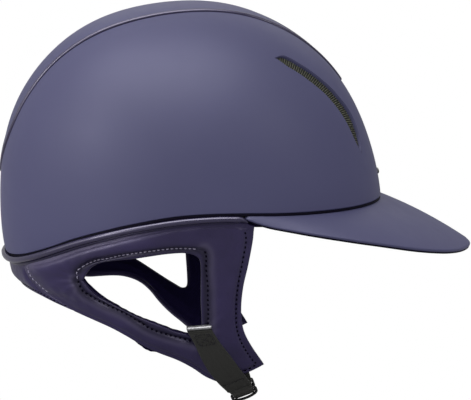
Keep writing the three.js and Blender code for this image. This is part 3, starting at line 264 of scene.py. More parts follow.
def stitches(name, lines, normals, length=2.3, gap=1.0, r=0.34, lift=0.12):
    """Short thread segments along lines on a surface, one object."""
    V, F = [], []
    for L, N in zip(lines, normals):
        acc = np.r_[0, np.cumsum(np.linalg.norm(np.diff(L, axis=0), axis=1))]; tot = acc[-1]; cnt = max(int(tot / (length + gap)), 1); step = tot / cnt
        at = lambda t, A: np.stack([np.interp(t, acc, A[:, k]) for k in range(3)], -1)
        for i in range(cnt):
            s0 = i * step + gap / 2; s1 = s0 + step - gap; ts = np.linspace(s0, s1, 6); P = at(ts, L); n = unit(at(ts, N)); h = np.array([-0.55, 0.25, 1, 1, 0.25, -0.55]) * r * 0.75 + lift
            P = P + n * h[:, None]; t = unit(P[-1] - P[0]); side = unit(np.cross(n, t)); rr = r * np.array([0.45, 0.85, 1, 1, 0.85, 0.45])
            b = len(V)
            for j in range(6):
                for a in range(6):
                    an = a * math.pi / 3; V.append(P[j] + n[j] * (rr[j] * 0.8 * math.cos(an)) + side[j] * (rr[j] * math.sin(an)))
            for j in range(5):
                for a in range(6): F.append((b + j * 6 + a, b + j * 6 + (a + 1) % 6, b + (j + 1) * 6 + (a + 1) % 6, b + (j + 1) * 6 + a))
            F.append(tuple(b + a for a in range(6))[::-1]); F.append(tuple(b + 30 + a for a in range(6)))
    return mesh_obj(name, V, F)
def mirror_of(ob, name):
    me = ob.data.copy(); me.name = name; co = np.zeros(len(me.vertices) * 3); me.vertices.foreach_get("co", co); co[1::3] *= -1; me.vertices.foreach_set("co", co); me.flip_normals(); me.update()
    o2 = bpy.data.objects.new(name, me); bpy.context.scene.collection.objects.link(o2); return o2

# ------------------------------------------------------------------ materials
def srgb(r, g, b): return tuple(((c / 255) / 12.92 if c / 255 <= 0.04045 else ((c / 255 + 0.055) / 1.055) ** 2.4) for c in (r, g, b)) + (1.0,)
class Mat:
    def __init__(self, name, base, rough, metal=0.0, **inp):
        self.m = bpy.data.materials.new(name); self.m.use_nodes = True; self.nt = self.m.node_tree; self.b = self.nt.nodes["Principled BSDF"]
        self.b.inputs["Base Color"].default_value = base; self.b.inputs["Roughness"].default_value = rough; self.b.inputs["Metallic"].default_value = metal
        for k, v in inp.items(): self.b.inputs[k.replace("_", " ")].default_value = v
        self.base = base; self.co = self.n("ShaderNodeTexCoord").outputs["Object"]; self.h = None
    def n(self, t, **k):
        x = self.nt.nodes.new(t)
        for a, v in k.items(): setattr(x, a, v)
        return x
    def l(self, a, b): self.nt.links.new(a, b)
    def noise(self, scale, detail=3.0, rough=0.6, co=None):
        x = self.n("ShaderNodeTexNoise"); x.inputs["Scale"].default_value = scale; x.inputs["Detail"].default_value = detail; x.inputs["Roughness"].default_value = rough
        self.l(co or self.co, x.inputs["Vector"]); return x.outputs["Fac"]
    def voronoi(self, scale, feature="F1", co=None):
        x = self.n("ShaderNodeTexVoronoi", feature=feature); x.inputs["Scale"].default_value = scale; self.l(co or self.co, x.inputs["Vector"]); return x.outputs["Distance"]
    def math(self, op, a, b=None, c=None):
        x = self.n("ShaderNodeMath", operation=op)
        for i, v in enumerate((a, b, c)):
            if v is None: continue
            if isinstance(v, (int, float)): x.inputs[i].default_value = v
            else: self.l(v, x.inputs[i])
        return x.outputs[0]
    def ramp(self, v, a, b, lo=0.0, hi=1.0):
        x = self.n("ShaderNodeMapRange"); self.l(v, x.inputs[0]); x.inputs[1].default_value = a; x.inputs[2].default_value = b; x.inputs[3].default_value = lo; x.inputs[4].default_value = hi; return x.outputs[0]
    def mix(self, f, a, b):
        x = self.n("ShaderNodeMix", data_type="RGBA")
        if isinstance(f, (int, float)): x.inputs[0].default_value = f
        else: self.l(f, x.inputs[0])
        for i, v in ((6, a), (7, b)):
            if isinstance(v, tuple): x.inputs[i].default_value = v
            else: self.l(v, x.inputs[i])
        return x.outputs[2]
    def color(self, c): self.l(c, self.b.inputs["Base Color"])
    def rough(self, c): self.l(c, self.b.inputs["Roughness"])
    def bump(self, h, strength, dist):
        x = self.n("ShaderNodeBump"); x.inputs["Strength"].default_value = strength; x.inputs["Distance"].default_value = dist; self.l(h, x.inputs["Height"])
        if self.h is not None: self.l(self.h, x.inputs["Normal"])
        self.h = x.outputs[0]; self.l(self.h, self.b.inputs["Normal"])
def tone(c, k): return (c[0] * k, c[1] * k, c[2] * k, 1.0)

NAVY = (0.088, 0.088, 0.184, 1.0)
def mat_shell():
    m = Mat("shell_navy_matt", NAVY, 0.5); m.b.inputs["Specular IOR Level"].default_value = 0.24
    cloud = m.noise(9, 4); fine = m.noise(2600, 2, 0.7); grit = m.voronoi(3800)
    m.color(m.mix(m.ramp(cloud, 0.3, 0.7), tone(NAVY, 0.975), tone(NAVY, 1.025)))
    m.rough(m.ramp(m.noise(60, 5), 0.25, 0.75, 0.44, 0.54)); m.bump(m.math("ADD", m.math("MULTIPLY", fine, 0.6), m.math("MULTIPLY", grit, 0.4)), 0.08, 0.0001)
    return m.m
def mat_gloss():
    c = srgb(34, 27, 62); m = Mat("gloss_navy", c, 0.28, Coat_Weight=0.5, Coat_Roughness=0.14); m.b.inputs["Specular IOR Level"].default_value = 0.9; m.b.inputs["Specular Tint"].default_value = (0.8, 0.76, 1.0, 1.0)
    m.color(m.mix(m.ramp(m.noise(40, 3), 0.3, 0.7), tone(c, 0.9), tone(c, 1.1))); m.rough(m.ramp(m.noise(220, 4), 0.3, 0.7, 0.26, 0.36)); m.bump(m.noise(500, 3), 0.06, 0.0002)
    return m.m
# near-black edge trim, partly the trim's own colour and partly painted shade for the dark lines under the rim and along
# the peak
def mat_edge_black_and_shade():
    c = srgb(9, 5, 26); m = Mat("edge_black_and_shade", c, 0.6); m.b.inputs["Specular IOR Level"].default_value = 0.1
    m.color(m.mix(m.ramp(m.noise(60, 3), 0.3, 0.7), tone(c, 0.8), tone(c, 1.2))); m.rough(m.ramp(m.noise(300, 3), 0.3, 0.7, 0.5, 0.62)); m.bump(m.noise(1500, 3), 0.1, 0.0001); return m.m
def mat_gloss_soft():
    c = srgb(30, 24, 56); m = Mat("welt_satin", c, 0.36, Coat_Weight=0.15, Coat_Roughness=0.25); m.b.inputs["Specular Tint"].default_value = (0.8, 0.76, 1.0, 1.0)
    m.color(m.mix(m.ramp(m.noise(40, 3), 0.3, 0.7), tone(c, 0.9), tone(c, 1.1))); m.rough(m.ramp(m.noise(220, 4), 0.3, 0.7, 0.28, 0.4)); m.bump(m.noise(900, 3), 0.1, 0.0002)
    return m.m
def mat_leather():
    # painted highlight lightens the leather where it stands proud, and painted shade takes it near black where it dips
    # into the sewing
    c = srgb(48, 40, 80); m = Mat("leather_navy", c, 0.4); m.b.inputs["Specular IOR Level"].default_value = 0.55; m.b.inputs["Specular Tint"].default_value = (0.82, 0.78, 1.0, 1.0)
    grain = m.voronoi(1150, "SMOOTH_F1"); pore = m.noise(2400, 4, 0.6); crease = m.noise(150, 6, 0.65)
    # painted shade: the seam mask darkens the leather towards near black along its sewing, where the grooves lie in
    # shade
    at = m.n("ShaderNodeAttribute"); at.attribute_name = "seam"; dark = m.math("MULTIPLY", at.outputs["Fac"], m.ramp(m.noise(90, 4), 0.2, 0.8, 0.75, 1.0))
    # painted highlight: the shoulder mask lightens the leather towards pale lavender where the padding's shoulders
    # would catch the softboxes
    sh = m.n("ShaderNodeAttribute"); sh.attribute_name = "painted_shoulder_highlight"; lit = m.math("MULTIPLY", sh.outputs["Fac"], m.ramp(m.noise(45, 5), 0.25, 0.75, 0.45, 0.9))
    m.color(m.mix(dark, m.mix(lit, m.mix(m.ramp(m.noise(26, 5), 0.3, 0.7), tone(c, 0.72), tone(c, 1.12)), srgb(112, 106, 134)), srgb(16, 11, 38)))
    m.rough(m.ramp(crease, 0.3, 0.7, 0.32, 0.46))
    m.bump(crease, 0.25, 0.0004); m.bump(grain, 0.35, 0.0002); m.bump(pore, 0.15, 0.0001)
    return m.m
def mat_fabric(name, c, scale=1500, sheen=0.25, rough=0.9, depth=0.00022, tint=(60, 60, 80), spec=0.3):
    m = Mat(name, c, rough, Sheen_Weight=sheen, Sheen_Roughness=0.6); m.b.inputs["Specular IOR Level"].default_value = spec; m.b.inputs["Sheen Tint"].default_value = srgb(*tint)
    s = m.n("ShaderNodeSeparateXYZ"); m.l(m.co, s.inputs[0]); k = scale * 2.2
    a = m.math("SINE", m.math("MULTIPLY", m.math("ADD", s.outputs[0], s.outputs[1]), k)); b = m.math("SINE", m.math("MULTIPLY", m.math("ADD", s.outputs[2], m.math("MULTIPLY", s.outputs[1], 0.31)), k))
    w = m.math("MULTIPLY", a, b); f = m.noise(scale * 1.2, 4, 0.7)
    m.color(m.mix(m.ramp(w, -1, 1), tone(c, 0.72), tone(c, 1.25))); m.bump(m.math("ADD", m.math("MULTIPLY", w, 0.5), f), 0.5, depth); m.bump(m.noise(45, 5), 0.2, 0.0008)
    return m.m
def mat_webbing():
    c = srgb(38, 38, 34); m = Mat("webbing_woven", c, 0.66, Sheen_Weight=0.1, Sheen_Roughness=0.45)
    uvn = m.n("ShaderNodeUVMap"); s = m.n("ShaderNodeSeparateXYZ"); m.l(uvn.outputs[0], s.inputs[0])
    # u runs across in mm, v along in mm: herringbone ribs
    u, v = s.outputs[0], s.outputs[1]
    tri = m.math("PINGPONG", m.math("MULTIPLY", u, 1.0), 1.5); diag = m.math("SINE", m.math("MULTIPLY", m.math("ADD", v, m.math("MULTIPLY", tri, 0.9)), 6.8)); rib = m.math("SINE", m.math("MULTIPLY", u, 2.0944 * 2))
    h = m.math("ADD", m.math("MULTIPLY", diag, 0.7), m.math("MULTIPLY", rib, 0.2)); fz = m.noise(2500, 3)
    m.color(m.mix(m.ramp(h, -1, 1), tone(c, 0.78), tone(c, 1.18))); m.bump(m.math("ADD", h, m.math("MULTIPLY", fz, 0.5)), 0.45, 0.00016)
    return m.m
def mat_plastic(name, c, rough=0.42):
    m = Mat(name, c, rough); m.rough(m.ramp(m.noise(300, 4), 0.3, 0.7, rough - 0.06, rough + 0.08)); m.bump(m.noise(2200, 3), 0.2, 0.00012)
    m.color(m.mix(m.ramp(m.noise(60, 3), 0.3, 0.7), tone(c, 0.88), tone(c, 1.12))); return m.m
def mat_steel():
    c = (0.62, 0.62, 0.65, 1.0); m = Mat("steel_brushed", c, 0.3, 1.0)
    mp = m.n("ShaderNodeMapping"); m.l(m.co, mp.inputs[0]); mp.inputs["Scale"].default_value = (60, 60, 2600)
    st = m.noise(1.0, 3, 0.6, mp.outputs[0]); m.rough(m.ramp(st, 0.3, 0.7, 0.22, 0.42)); m.bump(st, 0.1, 0.0001); m.color(m.mix(m.ramp(m.noise(90, 3), 0.3, 0.7), tone(c, 0.85), tone(c, 1.1))); return m.m
def mat_clamp():
    c = (0.36, 0.36, 0.37, 1.0); m = Mat("clamp_satin", c, 0.42, 0.85); m.rough(m.ramp(m.noise(500, 3), 0.3, 0.7, 0.34, 0.5)); m.color(m.mix(m.ramp(m.noise(260, 4), 0.35, 0.7), tone(c, 0.8), tone(c, 1.2))); m.bump(m.noise(1400, 3), 0.15, 0.0001); return m.m
def mat_foam():
    c = srgb(38, 38, 41); m = Mat("foam_beads", c, 0.8); v = m.voronoi(330, "SMOOTH_F1"); e = m.voronoi(330, "DISTANCE_TO_EDGE")
    m.color(m.mix(m.ramp(e, 0.0, 0.12), tone(c, 0.45), tone(c, 1.1))); m.bump(v, 0.5, -0.0009); m.bump(m.noise(900, 3), 0.2, 0.0002); return m.m
def mat_rim():
    c = srgb(72, 72, 100); m = Mat("rim_satin", c, 0.3); m.color(m.mix(m.ramp(m.noise(60, 3), 0.3, 0.7), tone(c, 0.92), tone(c, 1.08))); m.rough(m.ramp(m.noise(300, 3), 0.3, 0.7, 0.26, 0.38)); m.bump(m.noise(900, 3), 0.08, 0.0002); return m.m
def mat_badge():
    c = srgb(14, 14, 18); m = Mat("badge_black", c, 0.18, Coat_Weight=0.6, Coat_Roughness=0.06); m.rough(m.ramp(m.noise(400, 3), 0.3, 0.7, 0.14, 0.26)); m.bump(m.noise(1500, 2), 0.05, 0.0001); return m.m
# the near-black navy thread below is partly its own colour and partly painted shade for the needle holes it sits in
M = dict(shell=mat_shell(), gloss=mat_gloss(), gloss_soft=mat_gloss_soft(), edge_shade_black=mat_edge_black_and_shade(), leather=mat_leather(), lining=mat_fabric("lining_dark", srgb(23, 16, 52), 1700, 0.0, tint=(30, 24, 70), spec=0.08),
         pad=mat_fabric("pad_knit", srgb(66, 64, 80), 1250, 0.35, depth=0.0003), under=mat_fabric("peak_underlay", srgb(24, 23, 33), 2100, 0.2), web=mat_webbing(),
         black=mat_plastic("plastic_black", srgb(24, 24, 26)), mesh=mat_plastic("vent_wire", srgb(104, 106, 84), 0.5), mesh_dark=mat_plastic("vent_wire_dark", srgb(34, 35, 30), 0.5), steel=mat_steel(), steel_dull=mat_clamp(), foam=mat_foam(),
         thread=mat_fabric("thread_grey", srgb(176, 170, 196), 3000, 0.2, 0.7, 0.0001), navy_thread_hole_shade=mat_fabric("navy_thread_hole_shade", srgb(7, 3, 22), 3000, 0.0, 0.9, 0.0001, spec=0.05), thread_dark=mat_fabric("thread_black", srgb(30, 30, 31), 3000, 0.2, 0.7, 0.0001),
         gloss_rim=mat_rim(), badge=mat_badge(), black_metal=mat_plastic("ring_lacquer", srgb(20, 20, 22), 0.3), rubber=mat_plastic("keeper_rubber", srgb(28, 28, 30), 0.62))
def done(ob, mat, body="helmet", replaces=(), child_of=None):
    ob.data.materials.clear(); ob.data.materials.append(M[mat]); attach(ob, body)
    if replaces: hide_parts(*replaces)
    return ob
# ==PIECES==
# ------------------------------------------------------------------ outer shell
NLB = 150
crown_loop = half_loop(CROWN, NLB)
rim_loop = half_loop(RIM, NLB, False)
def loop_deg(L): return np.degrees(np.arctan2(-L[:, 1], L[:, 0] - HX))
def grow(L, d):
    t = unit(np.roll(L, -1, 0) - np.roll(L, 1, 0)); n = unit(L - SHELL_C); return on_shell(L + unit(np.cross(t, n)) * d)
_a, _b = grow(crown_loop, 1.9), grow(crown_loop, -1.9)
if _a[NLB // 2, 1] > crown_loop[NLB // 2, 1]: _a, _b = _b, _a
edge_out, edge_in = _a, _b                                   # shell edge and panel edge either side of the bead
def dirs_between(A, B, ts):
    a, b = unit(A - SHELL_C), unit(B - SHELL_C); t = np.asarray(ts)[:, None, None]
    return unit(a[None] * (1 - t) + b[None] * t)
def rim_at(depth, lift=0.0):
    d = loop_deg(rim_loop); P = shell_at(np.abs(d), rim_loop[:, 2] + lift, depth); P[:, 1] = np.where(d < 0, -P[:, 1], P[:, 1]); return P
def shell_band(A, B, T, r_rim, nmid, depth0=0.0, skip=0.0):
    """Band of the shell between loops A (rim) and B with rounded edges, as outer and inner grids."""
    L = 100.0; ts, do, di = end_rows(T, r_rim, L, nmid)
    D = dirs_between(A, B, ts); O = on_shell(SHELL_C + D * 100); N = shell_normal(O)
    return O - N * (do + depth0)[:, None, None], O - N * (di + depth0)[:, None, None]
O, I = shell_band(rim_loop, edge_out, 3.0, 1.1, 46)
shell = slab("outer_shell_skin", O, I, wrap=True)

# vent crescents
def vent_lines(n): return even(VENT_F, n), even(VENT_R, n)
def vent_loop(inset, depth, n=64, k=1.0):
    """Closed outline of the vent, moved in by inset, at a depth."""
    f, r = vent_lines(n); q = (f + r) / 2; dv = r - f; w = np.linalg.norm(dv, axis=1) / 2; L = np.r_[0, np.cumsum(np.linalg.norm(np.diff(q, axis=0), axis=1))]
    s = np.linspace(0, 1, n + 1); e = min(max(inset * 1.6, 0.0) / L[-1], 0.3); lo, hi = e * L[-1], (1 - e) * L[-1]; ss = lo + (hi - lo) * s
    qq = np.stack([np.interp(ss, L, q[:, c]) for c in range(3)], 1); ww = np.interp(ss, L, w)
    x = np.linspace(-1, 1, n + 1); cap = np.sqrt(np.clip(1 - np.abs(x) ** 10, 0, 1))
    d2 = np.where(np.linalg.norm(dv, axis=1, keepdims=True) > 1e-6, dv, 0); d2[0] = d2[1]; d2[-1] = d2[-2]; dd = unit(np.stack([np.interp(ss, L, d2[:, c]) for c in range(3)], 1))
    hw = np.maximum(ww - inset, 0.02) * k * cap
    a, b = qq + dd * hw[:, None], qq - dd * hw[:, None]
    P = np.vstack([a, b[1:-1][::-1]]); Q = on_shell(P); return Q - shell_normal(Q) * depth
def vent_cutter(name, inset, depths):
    G = np.stack([vent_loop(inset, d) for d in depths]); m = G.shape[1]; V = G.reshape(-1, 3); F = []
    for i in range(len(depths) - 1):
        for j in range(m): F.append((i * m + j, i * m + (j + 1) % m, (i + 1) * m + (j + 1) % m, (i + 1) * m + j))
    h = m // 2
    for base in (0, (len(depths) - 1) * m):
        for j in range(h):
            a, b, c, d = base + j, base + j + 1, base + (m - j - 1) % m, base + (m - j) % m
            F.append((a, b, c, d) if a != d else (a, b, c))
    return mesh_obj(name, V, F, smooth=False)
def cut(ob, *tools):
    for t in tools:
        md = ob.modifiers.new("cut", "BOOLEAN"); md.operation = "DIFFERENCE"; md.object = t; md.solver = "EXACT"
        bpy.context.view_layer.objects.active = ob
        with bpy.context.temp_override(object=ob, active_object=ob, selected_objects=[ob]): bpy.ops.object.modifier_apply(modifier="cut")
        bpy.data.objects.remove(t, do_unlink=True)
    return ob
def surface_normals(ob, smooth_below=0.75):
    """Shade the shell's two faces with the true normals of the surface, and keep cut edges crisp."""
    me = ob.data; n = len(me.vertices); co = np.zeros(n * 3); me.vertices.foreach_get("co", co); co = co.reshape(-1, 3) / MM
    on = shell_normal(co); me.update(); cn = np.zeros(len(me.loops) * 3); me.corner_normals.foreach_get("vector", cn); cn = cn.reshape(-1, 3)
    vi = np.zeros(len(me.loops), int); me.loops.foreach_get("vertex_index", vi)
    fn = np.zeros(len(me.polygons) * 3); me.polygons.foreach_get("normal", fn); fn = fn.reshape(-1, 3); ls = np.zeros(len(me.polygons), int); lt = np.zeros(len(me.polygons), int)
    me.polygons.foreach_get("loop_start", ls); me.polygons.foreach_get("loop_total", lt); pf = np.repeat(np.arange(len(ls)), lt); order = np.concatenate([np.arange(a, a + b) for a, b in zip(ls, lt)]); lf = np.zeros(len(vi), int); lf[order] = pf
    t = on[vi]; f = fn[lf]; dot = np.sum(t * f, 1); out = np.where((dot > 0.93)[:, None], t, np.where((dot < -0.93)[:, None], -t, f))
    bad = (np.abs(dot) <= 0.93); out[bad] = cn[bad]
    me.normals_split_custom_set(out.tolist()); return ob
cr = vent_cutter("cut_r", 0.0, [-2, 6]); cl = mirror_of(cr, "cut_l"); cut(shell, cr, cl)
shell.data.set_sharp_from_angle(angle=math.radians(38)); surface_normals(shell)
done(shell, "shell", replaces=["outer_shell"])

# crown panel with its edges turned down beside the bead
half_in = edge_in[:NLB + 1]
us = np.r_[[0, 0.006, 0.016, 0.032, 0.055], np.linspace(0.09, 0.91, 29), [0.945, 0.968, 0.984, 0.994, 1]]
def panel(depth, turn):
    P = []
    for u in us:
        y = half_in[:, 1] * (1 - 2 * u); z = half_in[:, 2] + (1 - (2 * u - 1) ** 2) * 0.03 * np.abs(half_in[:, 1]); Q = on_shell(np.stack([half_in[:, 0], y, z], 1))
        wid = np.abs(half_in[:, 1]) * 2 * min(u, 1 - u); dr = turn * (1 - sstep(wid, 0, 1.2))
        P.append(Q - shell_normal(Q) * (depth + dr)[:, None])
    return np.array(P)
crown = slab("crown_panel_skin", panel(0.1, 0.8), panel(2.9, -0.4)); done(crown, "shell", replaces=["crown_panel"])
bead = tube("crown_bead", shell_off(crown_loop, 0.3), circle(1.5, 20), closed=True); done(bead, "gloss", replaces=["crown_trim"])

# vent frames and wire mesh
prof = [(-0.05, 5.4), (-0.06, 0.75), (0.02, 0.42), (0.16, 0.3), (0.30, 0.4), (0.40, 0.7), (0.46, 2.6), (0.5, 4.6), (0.5, 5.4)]
G = np.stack([vent_loop(i, d, 90) for i, d in prof] + [vent_loop(-0.05, 5.4, 90)])
def ring_mesh(name, G, **k):
    n, m = G.shape[:2]; n -= 1; V = G[:n].reshape(-1, 3); F = []
    for i in range(n):
        for j in range(m): F.append((i * m + j, i * m + (j + 1) % m, ((i + 1) % n) * m + (j + 1) % m, ((i + 1) % n) * m + j))
    return mesh_obj(name, V, F, **k)
vf = ring_mesh("vent_frame_rim_right", G, angle=55); vf2 = mirror_of(vf, "vent_frame_rim_left")
done(vf, "shell", replaces=["vent_frame_right"]); done(vf2, "shell", replaces=["vent_frame_left"])
def vent_wires(name, part):
    """Woven mesh that rises from the foot of the front wall to the vent's rear edge: thick ribs across, fine wires along."""
    f, r = vent_lines(240); q = (f + r) / 2; L = np.r_[0, np.cumsum(np.linalg.norm(np.diff(q, axis=0), axis=1))]; w = np.maximum(np.linalg.norm(r - f, axis=1) / 2 - 0.5, 0.0)
    dv = unit(np.where(np.linalg.norm(r - f, axis=1, keepdims=True) > 1e-3, r - f, [[0, -1.0, 0.3]])); V, F = [], []
    def wire(P, rr, flat=1.0):
        b = len(V); T = unit(np.gradient(P, axis=0)); N = shell_normal(on_shell(P)); S = unit(np.cross(T, N))
        for i in range(len(P)):
            for a in range(6): V.append(P[i] + N[i] * rr * flat * math.cos(a * math.pi / 3) + S[i] * rr * math.sin(a * math.pi / 3))
        for i in range(len(P) - 1):
            for a in range(6): F.append((b + i * 6 + a, b + i * 6 + (a + 1) % 6, b + (i + 1) * 6 + (a + 1) % 6, b + (i + 1) * 6 + a))
        F.append(tuple(b + a for a in range(6))[::-1]); F.append(tuple(b + (len(P) - 1) * 6 + a for a in range(6)))
    def place(s, t, lift=0.0):
        W = np.maximum(np.interp(s, L, w), 0.05); P = np.stack([np.interp(s, L, q[:, k]) for k in range(3)], 1) + np.stack([np.interp(s, L, dv[:, k]) for k in range(3)], 1) * t[:, None]
        Q = on_shell(P); d = 2.3 - 1.4 * (np.clip(t / W, -1, 1) + 1) / 2 - lift; return Q - shell_normal(Q) * d[:, None]
    pitch = 1.7
    if part == "ribs":
        for s0 in np.arange(2.0, L[-1] - 1.0, pitch):
            W0 = float(np.interp(s0, L, w)); ts = np.linspace(-W0, W0, max(int(W0 * 5), 6)); s = s0 - 0.30 * ts; ok = (s > 0.5) & (s < L[-1] - 0.5)
            if W0 < 0.35 or ok.sum() < 4: continue
            wire(place(s[ok], ts[ok], 0.12 * np.sin(ts[ok] / 0.9 * math.pi)), 0.30, 0.8)
    else:
        for t0 in np.arange(-8, 8.01, 1.1):
            s = np.linspace(0, L[-1], 260); ok = np.interp(s, L, w) > abs(t0) + 0.15
            if ok.sum() < 8: continue
            k = np.where(ok)[0]; s = s[k[0]:k[-1] + 1]; wire(place(s, np.full(len(s), t0), 0.16 * np.sin(s / pitch * math.pi)), 0.2)
    return mesh_obj(name, V, F)
def shade_sheet_behind_mesh(name):
    """Black sheet just behind the wires, painted shade standing in for the dark channel inside the vent."""
    f, r = vent_lines(120); q = (f + r) / 2; dv = unit(np.where(np.linalg.norm(r - f, axis=1, keepdims=True) > 1e-3, r - f, [[0, -1.0, 0.3]])); w = np.maximum(np.linalg.norm(r - f, axis=1) / 2 - 0.42, 0.06)
    def rows(off):
        G = []
        for t in np.linspace(-1, 1, 9):
            Q = on_shell(q + dv * (w * t)[:, None]); G.append(Q - shell_normal(Q) * (2.8 - 1.4 * (t + 1) / 2 + off))
        return np.array(G)
    return slab(name, rows(0.0), rows(0.25))
vm = vent_wires("vent_ribs_right", "ribs"); vm2 = mirror_of(vm, "vent_ribs_left")
done(vm, "mesh", replaces=["vent_mesh_right"]); done(vm2, "mesh", replaces=["vent_mesh_left"])
vw = vent_wires("vent_wires_right", "wires"); vw2 = mirror_of(vw, "vent_wires_left"); done(vw, "mesh_dark"); done(vw2, "mesh_dark")
# black sheets behind the meshes: painted shade inside the vents
vb = shade_sheet_behind_mesh("vent_scrim_right"); vb2 = mirror_of(vb, "vent_scrim_left"); done(vb, "black"); done(vb2, "black")

# foam liner with an air channel behind each vent, and the carrier ring under it
TOP = SHELL_C + np.array([0, 0, 138.0])
def dome(d0, d1, lift, r, nmid):
    ts, a, b = end_rows(d1 - d0, r, 170.0, nmid); ts = ts[:len(ts) - 5]; a = a[:len(ts)]; b = b[:len(ts)]; ts = ts / ts[-1]
    base = rim_at(0, lift); D = dirs_between(base, np.repeat(TOP[None], len(base), 0), ts); O = on_shell(SHELL_C + D * 100)
    o = np.array([on_shell(O[i], d0 + a[i]) for i in range(len(ts))]); n = np.array([on_shell(O[i], d0 + b[i]) for i in range(len(ts))]); return o, n
a, b = dome(4.6, 23.3, 2.4, 3.0, 30)
def capped(name, A, B, **k):
    R, C = A.shape[:2]; V = np.vstack([A.reshape(-1, 3), B.reshape(-1, 3)]); F = []
    for r_ in range(R - 1):
        for c in range(C): F.append((r_ * C + c, r_ * C + (c + 1) % C, (r_ + 1) * C + (c + 1) % C, (r_ + 1) * C + c)); F.append(tuple(R * C + x for x in (r_ * C + c, (r_ + 1) * C + c, (r_ + 1) * C + (c + 1) % C, r_ * C + (c + 1) % C)))
    for c in range(C): F.append((c, R * C + c, R * C + (c + 1) % C, (c + 1) % C))
    return mesh_obj(name, V, F, merge=0.02, **k)
foam = capped("foam_liner_body", a, b)
tr = vent_cutter("ch_r", 1.1, [1, 30]); tl = mirror_of(tr, "ch_l"); pr = vent_cutter("pk_r", -0.5, [1, 9]); pl = mirror_of(pr, "pk_l"); cut(foam, pr, pl, tr, tl)
foam.data.set_sharp_from_angle(angle=math.radians(40)); done(foam, "foam", replaces=["eps_liner"])
ts, do, di = end_rows(1.9, 0.6, 4.9, 3)
ringA = np.array([rim_at(3.5 + o, 1.7 - t * 4.9) for t, o in zip(ts, do)]); ringB = np.array([rim_at(3.5 + o, 1.7 - t * 4.9) for t, o in zip(ts, di)])
done(slab("carrier_ring", ringA, ringB, wrap=True), "black", replaces=["rim_carrier"])
# its flange closes the shell's edge as a thin black line; the near-black colour is partly the flange's own and partly
# painted shade under the rim
prof_f = [(5.0, -0.12), (0.7, -0.12), (0.42, -0.25), (0.35, -0.5), (0.35, -1.35), (0.42, -1.6), (0.7, -1.75), (5.0, -1.75)]
done(ring_mesh("rim_flange", np.stack([rim_at(d, z) for d, z in prof_f] + [rim_at(*prof_f[0])]), angle=50), "edge_shade_black")

# blank oval badge on the front seam
th = np.linspace(0, 2 * math.pi, 48, endpoint=False); bx = float(on_shell(np.array([200.0, 0, 22.0]))[0])
rows = [(1.0, 0.2), (1.0, 0.85), (0.985, 1.1), (0.94, 1.28), (0.86, 1.38), (0.7, 1.40), (0.62, 1.32), (0.5, 1.4), (0.25, 1.44), (0.02, 1.45)]
V = np.vstack([np.stack([np.full(48, bx + h), 6.2 * k * np.cos(th), 22 + 2.0 * k * np.sin(th)], 1) for k, h in rows]); F = []
for i in range(len(rows) - 1):
    for j in range(48): F.append((i * 48 + j, i * 48 + (j + 1) % 48, (i + 1) * 48 + (j + 1) % 48, (i + 1) * 48 + j))
F.append(tuple(range(48))[::-1]); F.append(tuple((len(rows) - 1) * 48 + j for j in range(48)))
done(mesh_obj("blank_badge", V, F, angle=50), "badge", replaces=["front_badge"])

# ------------------------------------------------------------------ peak
NPB = 200
eh = even(PEAK_EDGE, NPB // 2); edge = np.vstack([eh, flip(eh[:-1][::-1])]); ang = np.linspace(PEAK_ROOT, -PEAK_ROOT, NPB + 1)
def root(depth):
    P = shell_at(np.abs(ang), z_rim(np.abs(ang)) - 1.9, depth); P[:, 1] = np.where(ang < 0, -P[:, 1], P[:, 1]); return P
mr = root(0.05); inner = root(3.0)
def peak_row(s): return mr + (edge - mr) * np.stack([np.full(3, 1.0)] * len(mr)) * np.array([s, s, 0.7 * s + 0.3 * s * s])
ss = np.r_[np.linspace(0.03, 0.93, 26), [0.955, 0.975, 0.988, 0.996, 1.0]]
top = np.array([inner, inner * 0.5 + mr * 0.5, mr] + [peak_row(s) for s in ss])
gn = unit(np.cross(np.gradient(top, axis=0), np.gradient(top, axis=1))); gn *= np.sign(gn[..., 2:3] + 1e-9); gn[:3] = [0, 0, 1]
span = np.linalg.norm(edge - mr, axis=1)
dist = np.array([np.full(NPB + 1, 99.0)] * 3 + [span * (1 - s) for s in ss]); rr = 0.85
roll = lambda d: rr - np.sqrt(np.clip(rr ** 2 - np.clip(rr - d, 0, rr) ** 2, 0, None))
side = np.minimum(np.linspace(0, 1, NPB + 1), np.linspace(1, 0, NPB + 1)) * 400; dist = np.minimum(dist, side[None] + 0.0)
A = top - gn * roll(dist)[..., None]; B = top - gn * (2.4 - roll(dist))[..., None]
done(slab("peak_brim", A, B, merge=0.01), "shell", replaces=["peak"])
def peak_at(s, d):
    f = np.interp(s, np.r_[0, ss], np.arange(len(ss) + 1)) + 2; i = int(min(math.floor(f), len(top) - 2)); t = f - i
    return (top[i] * (1 - t) + top[i + 1] * t) - unit(gn[i] * (1 - t) + gn[i + 1] * t) * d
cs = slice(14, NPB + 1 - 14)
ls = np.r_[[0.045, 0.052, 0.07, 0.1], np.linspace(0.16, 0.86, 18), [0.91, 0.94, 0.958, 0.965]]
pf = lambda s: 1 - sstep(min(s - 0.045, 0.965 - s), 0, 0.03)
A = np.array([peak_at(s, 2.7 + 0.35 * pf(s))[cs] for s in ls]); B = np.array([peak_at(s, 3.75 - 0.4 * pf(s))[cs] for s in ls])
done(slab("peak_underlay", A, B), "under", replaces=["peak_lining"])

# bound edge under the peak's rim; its near-black colour is partly the binding's own and partly painted shade along the
# edge
def edge_line(d, inn): return np.array([peak_at(1.0, d)[k] for k in range(NPB + 1)]) - unit(edge - mr) * np.array([1, 1, 0]) * inn
ebl = edge_line(2.15, 0.75)[2:-2]; rad = np.full(len(ebl), 0.85); rad[:5] = [0.15, 0.4, 0.6, 0.75, 0.82]; rad[-5:] = [0.82, 0.75, 0.6, 0.4, 0.15]
done(tube("peak_edge_binding", ebl, np.stack([circle(float(q), 12) for q in rad])), "edge_shade_black")
